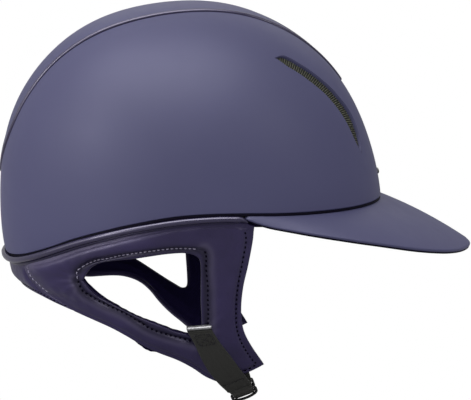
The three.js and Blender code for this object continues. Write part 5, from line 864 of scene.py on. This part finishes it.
# ------------------------------------------------------------------ straps
def strap_edges(n, first=0.0):
    m = int(n * first); return even(uv(STRAP_REAR), n)[m:], even(uv(STRAP_FRONT), n)[m:]
def side_strap(name, n=150, first=0.0):
    r, f = strap_edges(n, first); us_ = np.r_[0, 0.012, 0.035, 0.07, np.linspace(0.11, 0.89, 21), 0.93, 0.965, 0.988, 1]
    G = r[None] * (1 - us_[:, None, None]) + f[None] * us_[:, None, None]; P = on_harness(G[..., 0] / 1.6, G[..., 1]); N = harness_normal(G[..., 0] / 1.6, G[..., 1])
    c = (r + f) / 2; Pc = on_harness(c[:, 0] / 1.6, c[:, 1]); L = np.r_[0, np.cumsum(np.linalg.norm(np.diff(Pc, axis=0), axis=1))]; W = np.linalg.norm(P[-1] - P[0], axis=-1)
    e = np.minimum(us_, 1 - us_)[:, None] * W[None]; sel = np.exp(-((e - 2.2) / 0.45) ** 2) * 0.10
    xst = 0.25 * np.exp(-((L - 2.0) / 1.2) ** 2)[None] + 0.45 * np.exp(-((L - (L[-1] - 6.6)) / 0.6) ** 2)[None] * 1.0
    crease = 0.18 * np.sin(L / 7.0 + 1.0)[None] * sstep(L, 14, 24)[None]
    rl = edge_roll(e, 0.7); top_ = 0.6 + 2.5 - rl + 0.0 * e - sel - xst * sstep(e, 1.2, 2.0) + crease * 0.5; bot = 0.5 + rl + crease * 0.3 + 0 * e
    ob = slab(name, P + N * top_[..., None], P + N * bot[..., None], merge=0.01); web_uv(ob, P, (us_ - 0.5) * 19.0, L); return ob, r, f, L
LEFT_FIRST = 0.2                                              # the left strap starts this far down its path
ss_r, sr, sf, sL = side_strap("side_strap_web_right")
t, srl, sfl, sLl = side_strap("strap_tmp", first=LEFT_FIRST); ss_l = mirror_of(t, "side_strap_web_left"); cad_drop(t)
done(ss_r, "web", replaces=["side_strap_right"]); done(ss_l, "web", replaces=["side_strap_left"])
def strap_pt(u, s):
    """Share across and distance down the side strap."""
    t = np.interp(s, sL, np.arange(len(sL))); i = np.clip(np.floor(t).astype(int), 0, len(sL) - 2); k = (t - i)[..., None]; r = sr[i] * (1 - k) + sr[i + 1] * k; f = sf[i] * (1 - k) + sf[i + 1] * k; g = r * (1 - u[..., None]) + f * u[..., None]; return g
def strap_sewing(name, sx=0.0):
    lines = []; m = 40; s0, s1, u0, u1 = 3.2 + sx, 12.5 + sx, 0.17, 0.83
    ln = lambda ua, sa, ub, sb: (np.linspace(ua, ub, m), np.linspace(sa, sb, m))
    end = sL[-1]
    for a in (ln(u0, s0, u1, s0), ln(u1, s0, u1, s1), ln(u1, s1, u0, s1), ln(u0, s1, u0, s0), ln(u0, s0, u1, s1), ln(u1, s0, u0, s1), ln(0.08, end - 6.6, 0.92, end - 6.6)):
        lines.append(a)
    Ls, Ns = [], []
    for u, s in lines:
        g = strap_pt(u, s); p, n = on_harness(g[:, 0] / 1.6, g[:, 1]), harness_normal(g[:, 0] / 1.6, g[:, 1]); p, n = on_surface(ss_r, p, n); Ls.append(p); Ns.append(n)
    return stitches(name, Ls, Ns, length=1.8, gap=0.6, r=0.42, lift=0.14)
q = strap_sewing("side_strap_sewing_right"); t = strap_sewing("strap_sewing_tmp", sL[-1] * 0 + (sL[-1] - sLl[-1])); q2 = mirror_of(t, "side_strap_sewing_left"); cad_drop(t); done(q, "thread_dark"); done(q2, "thread_dark")
# end clamps: bent metal over the strap's end
prof_c = [(0.45, 0.5), (0.5, 1.6), (0.62, 2.6), (0.95, 3.25), (1.4, 3.5), (1.9, 3.5), (2.45, 3.2), (2.8, 2.5), (2.9, 1.5), (2.9, 0.5)]
def clamp(name, ra_, fa_):
    us_ = np.linspace(0, 1, 40); G = []
    for up, hgt in prof_c:
        a = ra_[0] / 1.6 + 0.2 + (fa_[0] / 1.6 - ra_[0] / 1.6 - 0.4) * us_; z = ra_[1] + (fa_[1] - ra_[1]) * us_ + up; e = np.minimum(us_, 1 - us_) * 17.0; hh = 0.5 + (hgt - 0.5) * (1 - (1 - np.clip(e / 1.2, 0, 1)) ** 3 * 0.75); P = on_harness(a, z); G.append(P + harness_normal(a, z) * hh[:, None])
    G = np.array(G); V = G.reshape(-1, 3); R, C = G.shape[:2]; F = []
    for r in range(R):
        for c in range(C - 1): F.append((r * C + c, r * C + c + 1, ((r + 1) % R) * C + c + 1, ((r + 1) % R) * C + c))
    F.append(tuple(r * C for r in range(R))[::-1]); F.append(tuple(r * C + C - 1 for r in range(R)))
    return mesh_obj(name, V, F, angle=50)
c1 = clamp("strap_end_clamp_right", sr[0], sf[0]); t = clamp("clamp_tmp", srl[0], sfl[0]); c2 = mirror_of(t, "strap_end_clamp_left"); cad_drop(t)
done(c1, "steel_dull", replaces=["strap_clamp_right"]); done(c2, "steel_dull", replaces=["strap_clamp_left"])

# local axes of the lower hardware
LYB = -BAR_C[1]; OR = BAR_C; OL = np.array([BAR_C[0], LYB, BAR_C[2]])
def loc(P, o): P = np.asarray(P, float); return o + P[..., 0:1] * WD + P[..., 1:2] * YD + P[..., 2:3] * DD
def band(name, line, w, t, o, edge_r=0.7, taper=None, merge=0.01, widths=None):
    """Webbing of width w and thickness t whose middle follows line, a list of (y, d) in local axes."""
    L = np.asarray(line, float); acc = np.r_[0, np.cumsum(np.linalg.norm(np.diff(L, axis=0), axis=1))]; n = max(int(acc[-1] / 0.7), 12); s = np.linspace(0, acc[-1], n); L = np.stack([np.interp(s, acc, L[:, k]) for k in range(2)], 1)
    for _ in range(2): L[1:-1] = L[1:-1] * 0.5 + (L[2:] + L[:-2]) * 0.25
    T = unit(np.gradient(L, axis=0)); Nn_ = np.stack([-T[:, 1], T[:, 0]], 1); u = np.r_[-1, -0.975, -0.93, -0.87, np.linspace(-0.8, 0.8, 17), 0.87, 0.93, 0.975, 1]; e = (1 - np.abs(u)) * w / 2
    sel = 0.13 * np.exp(-((e - 2.2) / 0.5) ** 2); h = t / 2 - edge_roll(e, edge_r) * 0.8 - sel; mk = lambda sgn: np.stack([loc(np.stack([np.full(n, uu * w / 2), L[:, 0] + Nn_[:, 0] * sgn * hh, L[:, 1] + Nn_[:, 1] * sgn * hh], 1), o) for uu, hh in zip(u, h)])
    A, B = mk(1), mk(-1); ob = slab(name, A, B, merge=merge); mid = (A + B) / 2; web_uv(ob, mid, u * w / 2, s); return ob
def arc(cy, cd, r, a0, a1, n=16): a = np.radians(np.linspace(a0, a1, n)); return [(cy + r * math.cos(x), cd + r * math.sin(x)) for x in a]

# end point of the side strap, 1.6 mm off the helmet's leather; the function is not called
def strap_fold(name, o, sgn):
    end = (strap_pt(np.array([0.5]), np.array([sL[-1]]))); pe = on_harness(end[:, 0] / 1.6, end[:, 1])[0] + harness_normal(end[:, 0] / 1.6, end[:, 1])[0] * 1.6
    return pe
# adjuster ring with its open loop under the chin
tl = RING_TILT; mv = lambda w, m: (w, math.sin(tl) * m, math.cos(tl) * m)
pts = [mv(w, 0) for w in np.linspace(-RING_HW + 1.6, RING_HW - 1.6, 12)]
pts += [mv(RING_HW - 1.6 + 1.6 * math.sin(a), 1.6 - 1.6 * math.cos(a)) for a in np.linspace(0.2, math.pi / 2, 7)] + [mv(RING_HW, m) for m in (2.4, 3.2, 4.2, 5.2)]
pts += [mv(RING_HW * math.cos(a), 6 + (RING_DEPTH - 6) * math.sin(a)) for a in np.linspace(0, math.pi, 40)] + [mv(-RING_HW, m) for m in (5.2, 4.2, 3.2, 2.4)]
pts += [mv(-RING_HW + 1.6 - 1.6 * math.sin(a), 1.6 - 1.6 * math.cos(a)) for a in np.linspace(math.pi / 2, 0.2, 7)]
ring = tube("adjuster_ring", loc(pts, OR), circle(0.95, 16), closed=True); mid = tube("adjuster_middle_bar", loc([mv(w, RING_MID - 0.8) for w in np.linspace(-RING_HW + 0.2, RING_HW - 0.2, 12)], OR), circle(0.8, 14))
done(ring, "black_metal", "strap_adjuster", replaces=["strap_adjuster"]); done(mid, "black_metal", "strap_adjuster")
my, md_ = mv(0, RING_MID - 0.8)[1:]

# chin strap: a wrap on the ring's middle bar, the run under the chin, and a wrap on the buckle's bar
wrap_r = 0.8 + 0.12 + 0.42
lay = STRAP_LEVEL
band_wrap = band("chin_wrap_ring", [(my + 9.0, lay + 0.62)] + [(my + 4.2, lay + 0.60), (my + 2.4, lay + 0.30)] + arc(my, md_, wrap_r, 62, 298, 30) + [(my + 2.2, lay - 1.2), (my + 4.2, lay - 0.75), (my + 9.0, lay - 0.62)], STRAP_W, 0.85, OR)
done(band_wrap, "web", "strap_adjuster")
py, pd_ = 2 * LYB - 36, 3.95
band_end = band("chin_wrap_buckle", [(py - 9.0, lay + 0.62), (py - 4.2, lay + 0.9), (py - 2.4, lay + 1.6)] + [(py - 1.2, pd_ + 1.75)] + arc(py, pd_, 1.2 + 0.25 + 0.6, 70, -70, 18) + [(py - 2.6, lay - 1.25), (py - 4.4, lay - 0.8), (py - 9.0, lay - 0.62)], 14.2, 1.15, OR)
done(band_end, "web", "buckle_plate")
def run(name, y0, y1):
    n = max(int((y1 - y0) / 0.8), 4); ys = np.linspace(y0, y1, n); return band(name, [(y, lay + 0.10 * math.sin((y - 5) / 8.0)) for y in ys], STRAP_W, 2.35, OR, edge_r=0.8)
split = 5.0 - BAR_C[1]                                       # local y of the place where the run changes hands
ra = run("chin_run_right", my + 7.0, split); rb = run("chin_run_left", split - 0.4, py - 6.5)
for o, m_ in ((ra, "web"), (rb, "web")): o.data.materials.clear(); o.data.materials.append(M[m_])
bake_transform(ra)
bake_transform(rb)
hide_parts("chin_strap")
# sewing across the chin strap near its ring end and at the buckle
def cross_sewing(name, ys, body, w=14.2, h=1.3):
    Ls, Ns = [], []
    for y in ys:
        for sg in (1, -1):
            p = loc(np.array([[x, y, lay + sg * h] for x in np.linspace(-w / 2 + 1.2, w / 2 - 1.2, 20)]), OR); Ls.append(p); Ns.append(np.repeat((DD * sg)[None], 20, 0))
    return done(stitches(name, Ls, Ns, length=1.6, gap=0.6, r=0.28, lift=0.0), "thread_dark", body)
cross_sewing("chin_sewing_ring", (my + 6.2, my + 7.6), "strap_adjuster", h=1.28); cross_sewing("chin_sewing_buckle", (py - 6.4, py - 7.8), "buckle_plate", h=1.28)

# keeper: moulded loop
def superloop(hw, hd, p=5, n=48):
    t = np.linspace(0, 2 * math.pi, n, endpoint=False); return np.stack([hw * np.sign(np.cos(t)) * np.abs(np.cos(t)) ** (2 / p), hd * np.sign(np.sin(t)) * np.abs(np.sin(t)) ** (2 / p)], 1)
G = []
for y, ho, hi_ in ((24.0, 0.5, 0), (24.15, 0.15, 0), (24.6, 0, 0), (28, -0.0, 0), (31.4, 0, 0), (31.85, 0.15, 0), (32.0, 0.5, 0)):
    s = superloop(9.35 - ho, 3.05 - ho * 0.8); G.append(loc(np.stack([s[:, 0], np.full(48, y), lay + s[:, 1]], 1), OR))
for y, hi_ in ((31.9, 0.0), (31.5, -0.12), (28, -0.12), (24.5, -0.12), (24.1, 0.0)):
    s = superloop(7.85 - hi_ * 0 , 1.75); G.append(loc(np.stack([s[:, 0], np.full(48, y), lay + s[:, 1]], 1), OR))
G.append(G[0]); kp = ring_mesh("keeper_loop", np.stack(G), angle=50); done(kp, "rubber", "strap_keeper", replaces=["strap_keeper"])

# ------------------------------------------------------------------ magnetic buckle
def rbox(name, x0, x1, y0, y1, z0, z1, r=1.2, b=0.35, o=OL, bumps=None, n=10):
    """Plate with rounded corners in plan and a soft edge, in local axes."""
    def outline(ins):
        rr = max(r - ins, 0.05); P = []
        for cx, cy, a0 in ((x1 - r, y1 - r, 0), (x0 + r, y1 - r, 90), (x0 + r, y0 + r, 180), (x1 - r, y0 + r, 270)):
            for k in range(n + 1): a = math.radians(a0 + 90 * k / n); P.append((cx + rr * math.cos(a), cy + rr * math.sin(a)))
        return np.array(P)
    lv = [(b, z0), (b * 0.3, z0 + b * 0.3), (0, z0 + b), (0, z1 - b), (b * 0.3, z1 - b * 0.3), (b, z1)]; V = []; m = 4 * (n + 1)
    for ins, z in lv: q = outline(ins); V.append(np.stack([q[:, 0], q[:, 1], np.full(m, z)], 1))
    V = loc(np.vstack(V), o); F = []
    for i in range(len(lv) - 1):
        for j in range(m): F.append((i * m + j, i * m + (j + 1) % m, (i + 1) * m + (j + 1) % m, (i + 1) * m + j))
    F.append(tuple(range(m))[::-1]); F.append(tuple((len(lv) - 1) * m + j for j in range(m)))
    return mesh_obj(name, V, F, angle=40)
rc = rbox("receiver_base", -11, 11, -30, -5, 0.2, 2.4, r=2.6); done(rc, "black", "buckle_receiver", replaces=["buckle_receiver"])
for sx in (1, -1):
    a0, a1 = (9.4, 11.4) if sx > 0 else (-11.4, -9.4)
    done(rbox(f"receiver_arm_{'front' if sx > 0 else 'rear'}", a0, a1, -8.4, 1.3, -1.25, 2.4, r=0.8), "black", "buckle_receiver")
done(tube("receiver_bar", loc([(w, 0, 0) for w in np.linspace(-10.5, 10.5, 14)], OL), circle(1.15, 16)), "steel", "buckle_receiver")
done(rbox("receiver_rail_stem", -9, 9, -19.25, -16.75, 2.2, 4.2, r=0.5, b=0.12), "black", "buckle_receiver")
done(rbox("receiver_rail_head", -9, 9, -20.75, -15.25, 4.0, 5.35, r=0.8, b=0.2), "black", "buckle_receiver")
mg = lathe("receiver_magnet_disc", [(2.0, 0), (2.7, 0.12), (2.85, 0.3), (2.85, 0.82), (2.6, 0.98), (0.5, 1.0)], loc(np.array([0, -26, 0.3]), OL), DD); done(mg, "steel", "buckle_receiver", replaces=["receiver_magnet"])
pl = rbox("closing_plate", -9.15, 9.15, -31, -9.5, 2.75, 7.15, r=2.6, b=0.7)
c1 = rbox("cutter_a", -12, 12, -19.7, -16.3, 2, 4.2, r=0.05, b=0.02, n=1); c2 = rbox("cutter_b", -12, 12, -21.2, -14.8, 3.7, 5.75, r=0.05, b=0.02, n=1)
cut(pl, c1, c2); pl.data.set_sharp_from_angle(angle=math.radians(35)); done(pl, "black", "buckle_plate", replaces=["buckle_plate"])
for k, y in enumerate(np.linspace(-28.5, -23.0, 4)): done(rbox(f"plate_grip_{k}", -5.4, 5.4, y - 0.35, y + 0.35, 6.9, 7.19, r=0.3, b=0.08), "black", "buckle_plate")
for sx in (1, -1):
    a0, a1 = (7.6, 9.15) if sx > 0 else (-9.15, -7.6)
    done(rbox(f"plate_arm_{'front' if sx > 0 else 'rear'}", a0, a1, -37.2, -30.2, 2.75, 5.2, r=0.6), "black", "buckle_plate")
done(tube("plate_bar", loc([(w, -36, 3.95) for w in np.linspace(-8.4, 8.4, 12)], OL), circle(1.2, 16)), "steel", "buckle_plate")
mg = lathe("plate_magnet_disc", [(2.0, 0), (2.7, 0.12), (2.85, 0.3), (2.85, 1.0), (2.6, 1.3), (0.5, 1.34)], loc(np.array([0, -26, 5.35]), OL), DD); done(mg, "steel", "buckle_plate", replaces=["plate_magnet"])
# ------------------------------------------------------------------ strap folds round the bars
def fold_piece(name):
    ln = [(-3.9, -6.9), (-2.95, -4.6), (-2.35, -2.9), (-1.85, -1.3)] + arc(0, 0, 1.62, 188, -8, 22) + [(1.25, -1.6), (0.55, -2.9), (-0.45, -4.1), (-1.85, -5.0), (-3.0, -6.6)]
    L = np.array(ln, float); acc = np.r_[0, np.cumsum(np.linalg.norm(np.diff(L, axis=0), axis=1))]; n = 70; s = np.linspace(0, acc[-1], n); L = np.stack([np.interp(s, acc, L[:, k]) for k in range(2)], 1)
    for _ in range(2): L[1:-1] = L[1:-1] * 0.5 + (L[2:] + L[:-2]) * 0.25
    T = unit(np.gradient(L, axis=0)); Nn_ = np.stack([-T[:, 1], T[:, 0]], 1); near = 1 - sstep(np.hypot(L[:, 0], L[:, 1]), 2.0, 5.2)
    hw = 8.75 - 1.65 * near; wc = -1.95 + 1.55 * near; u = np.r_[-1, -0.98, -0.94, -0.88, np.linspace(-0.8, 0.8, 17), 0.88, 0.94, 0.98, 1]
    mk = lambda sgn: np.stack([loc(np.stack([wc + uu * hw, L[:, 0] + Nn_[:, 0] * sgn * hh, L[:, 1] + Nn_[:, 1] * sgn * hh], 1), OR) for uu in u for hh in [0.56 - edge_roll(np.array((1 - abs(uu)) * 8.5), 0.5) * 0.8 - 0.12 * math.exp(-(((1 - abs(uu)) * 8.5 - 2.2) / 0.5) ** 2)]])
    A, B = mk(1), mk(-1); ob = slab(name, A, B, merge=0.01); web_uv(ob, (A + B) / 2, u * 8.6, s); return ob
fo = fold_piece("strap_fold_right"); fo2 = mirror_of(fo, "strap_fold_left"); done(fo, "web"); done(fo2, "web")

# retention webbing's tail, from under the tab to the bar
rows_ = np.array([[-96, 62.6, 4.3], [-101, 61.6, 4.3], [-106, 60.5, 4.2], [-111.5, 58.5, 3.9], [-114.5, 57.4, 3.5], [-116.5, 56.7, 3.0], [-118.2, 56.1, 2.5]])
tz = np.linspace(0, 1, 40); z_ = np.interp(tz, np.linspace(0, 1, 7), rows_[:, 0]); a_ = np.interp(tz, np.linspace(0, 1, 7), rows_[:, 1]); d_ = np.interp(tz, np.linspace(0, 1, 7), rows_[:, 2])
us_ = np.r_[0, 0.02, 0.05, 0.09, np.linspace(0.14, 0.86, 13), 0.91, 0.95, 0.98, 1]; A_, B_ = [], []
for u in us_:
    aa2 = a_ + u * 13.5; zz2 = z_ - u * 3.4; P = on_harness(aa2, zz2); Nh = harness_normal(aa2, zz2); e = min(u, 1 - u) * 17.0; rr2 = float(edge_roll(np.array(e), 0.5)); A_.append(P - Nh * (d_ + rr2)[:, None]); B_.append(P - Nh * (d_ + 1.15 - rr2)[:, None])
A_, B_ = np.array(A_), np.array(B_); o = slab("web_tail_right", A_, B_, merge=0.01); web_uv(o, (A_ + B_) / 2, us_ * 17.0, tz * 27.0); o2 = mirror_of(o, "web_tail_left"); done(o, "web"); done(o2, "web")

# ------------------------------------------------------------------ stage, light and camera
SKY = 1.17
fl_me = bpy.data.meshes.new("floor"); fz = float(CAD_BOX[0][2]) - 0.0012 if hasattr(CAD_BOX[0], "__len__") else -0.1335
fl_me.from_pydata([(-60, -60, fz), (60, -60, fz), (60, 60, fz), (-60, 60, fz)], [], [(0, 1, 2, 3)]); floor = bpy.data.objects.new("floor", fl_me); bpy.context.scene.collection.objects.link(floor)
fm = Mat("floor_pale", (0.42, 0.42, 0.43, 1), 0.95); fm.b.inputs["Specular IOR Level"].default_value = 0.0
fm.color(fm.mix(fm.ramp(fm.noise(3, 2), 0.3, 0.7), (0.41, 0.41, 0.42, 1), (0.43, 0.43, 0.435, 1)))
em = fm.n("ShaderNodeEmission"); em.inputs[0].default_value = (1, 1, 1, 1); em.inputs[1].default_value = 1.0; lpf = fm.n("ShaderNodeLightPath"); mxf = fm.n("ShaderNodeMixShader"); fm.l(lpf.outputs["Is Camera Ray"], mxf.inputs[0]); fm.l(fm.b.outputs[0], mxf.inputs[1]); fm.l(em.outputs[0], mxf.inputs[2])
# seen from below, the floor does not hide the helmet
geo_ = fm.n("ShaderNodeNewGeometry"); tr_ = fm.n("ShaderNodeBsdfTransparent"); mxb = fm.n("ShaderNodeMixShader"); fm.l(fm.math("MULTIPLY", geo_.outputs["Backfacing"], lpf.outputs["Is Camera Ray"]), mxb.inputs[0]); fm.l(mxf.outputs[0], mxb.inputs[1]); fm.l(tr_.outputs[0], mxb.inputs[2])
fm.l(mxb.outputs[0], fm.nt.nodes["Material Output"].inputs[0]); fl_me.materials.append(fm.m)
w = bpy.data.worlds.new("studio"); bpy.context.scene.world = w; w.use_nodes = True; nt = w.node_tree; nt.nodes.clear()
N = lambda t, **k: (lambda x: ([setattr(x, a, b) for a, b in k.items()], x)[1])(nt.nodes.new(t)); K_ = nt.links.new
o_ = N("ShaderNodeOutputWorld"); bg = N("ShaderNodeBackground"); bg2 = N("ShaderNodeBackground"); mx = N("ShaderNodeMixShader"); lp = N("ShaderNodeLightPath")
tc = N("ShaderNodeTexCoord"); dot = N("ShaderNodeVectorMath", operation="DOT_PRODUCT"); AX = unit(np.array([-0.56, 0.0, 0.80])); dot.inputs[1].default_value = tuple(float(x) for x in AX); K_(tc.outputs["Generated"], dot.inputs[0])
mr_ = N("ShaderNodeMapRange"); K_(dot.outputs["Value"], mr_.inputs[0]); mr_.inputs[1].default_value = -0.85; mr_.inputs[2].default_value = 1.0; mr_.inputs[3].default_value = 0.30; mr_.inputs[4].default_value = SKY
# polished pieces mirror a dim studio, so that only the softboxes show in them
gl_ = N("ShaderNodeMapRange"); K_(lp.outputs["Is Glossy Ray"], gl_.inputs[0]); gl_.inputs[3].default_value = 1.0; gl_.inputs[4].default_value = 0.4; ml_ = N("ShaderNodeMath", operation="MULTIPLY"); K_(mr_.outputs[0], ml_.inputs[0]); K_(gl_.outputs[0], ml_.inputs[1])
K_(ml_.outputs[0], bg.inputs[1]); bg.inputs[0].default_value = (1.0, 0.995, 1.0, 1); bg2.inputs[0].default_value = (1, 1, 1, 1); bg2.inputs[1].default_value = 1.02
K_(lp.outputs["Is Camera Ray"], mx.inputs[0]); K_(bg.outputs[0], mx.inputs[1]); K_(bg2.outputs[0], mx.inputs[2]); K_(mx.outputs[0], o_.inputs[0])
def area_light(name, pos, target, size, power, col=(1, 1, 1), size_y=None, spec_only=False):
    d = bpy.data.lights.new(name, "AREA"); d.shape = "RECTANGLE"; d.size = size; d.size_y = size_y or size; d.energy = power; d.color = col
    o = bpy.data.objects.new(name, d); bpy.context.scene.collection.objects.link(o); o.location = pos; o.rotation_euler = (Vector(target) - Vector(pos)).to_track_quat("-Z", "Y").to_euler(); o.visible_camera = False
    if spec_only: o.visible_diffuse = False
    return o
area_light("softbox_over_near_side", (-0.25, -0.55, 1.35), (-0.02, -0.05, 0.02), 2.0, 36, (1, 0.99, 1), 1.2, spec_only=True)
area_light("softbox_left", (-1.0, -1.45, 0.10), (-0.02, 0, -0.04), 0.9, 6, (1, 0.99, 1), 0.9, spec_only=True)
area_light("softbox_right", (1.25, -1.05, 0.7), (0.05, 0, 0.05), 0.4, 2.5, (1, 0.99, 1), 0.4, spec_only=True)
area_light("softbox_left_high", (-1.25, -1.0, 0.75), (-0.05, 0, 0.05), 0.4, 6, (1, 0.99, 1), 0.4, spec_only=True)
area_light("backdrop_glow", (0.3, 1.7, 1.25), (0.02, 0, 0.06), 2.0, 5, (1, 1, 1), 1.2, spec_only=True)
area_light("key_left", (-1.6, -0.5, 0.35), (0, 0, 0), 1.2, 5, (1, 0.995, 0.99))
az, el = math.radians(-4.4), math.radians(9.0)
back = Vector((math.sin(az) * math.cos(el), -math.cos(az) * math.cos(el), math.sin(el))); right = Vector((math.cos(az), math.sin(az), 0)); up = back.cross(right) * 1
up = right.cross(back) * -1 if back.cross(right).z < 0 else back.cross(right)
tgt = right * 0.032487 + up * 0.002142
cam_d = bpy.data.cameras.new("camera"); cam = bpy.data.objects.new("camera", cam_d); bpy.context.scene.collection.objects.link(cam)
cam.location = tgt + back * 1.7; cam.rotation_euler = (-back).to_track_quat("-Z", "Y").to_euler(); cam_d.sensor_width = 36; cam_d.lens = 181.98; cam_d.clip_start = 0.05; cam_d.clip_end = 200
bpy.context.scene.camera = cam
bpy.context.scene.view_settings.view_transform = "Standard"
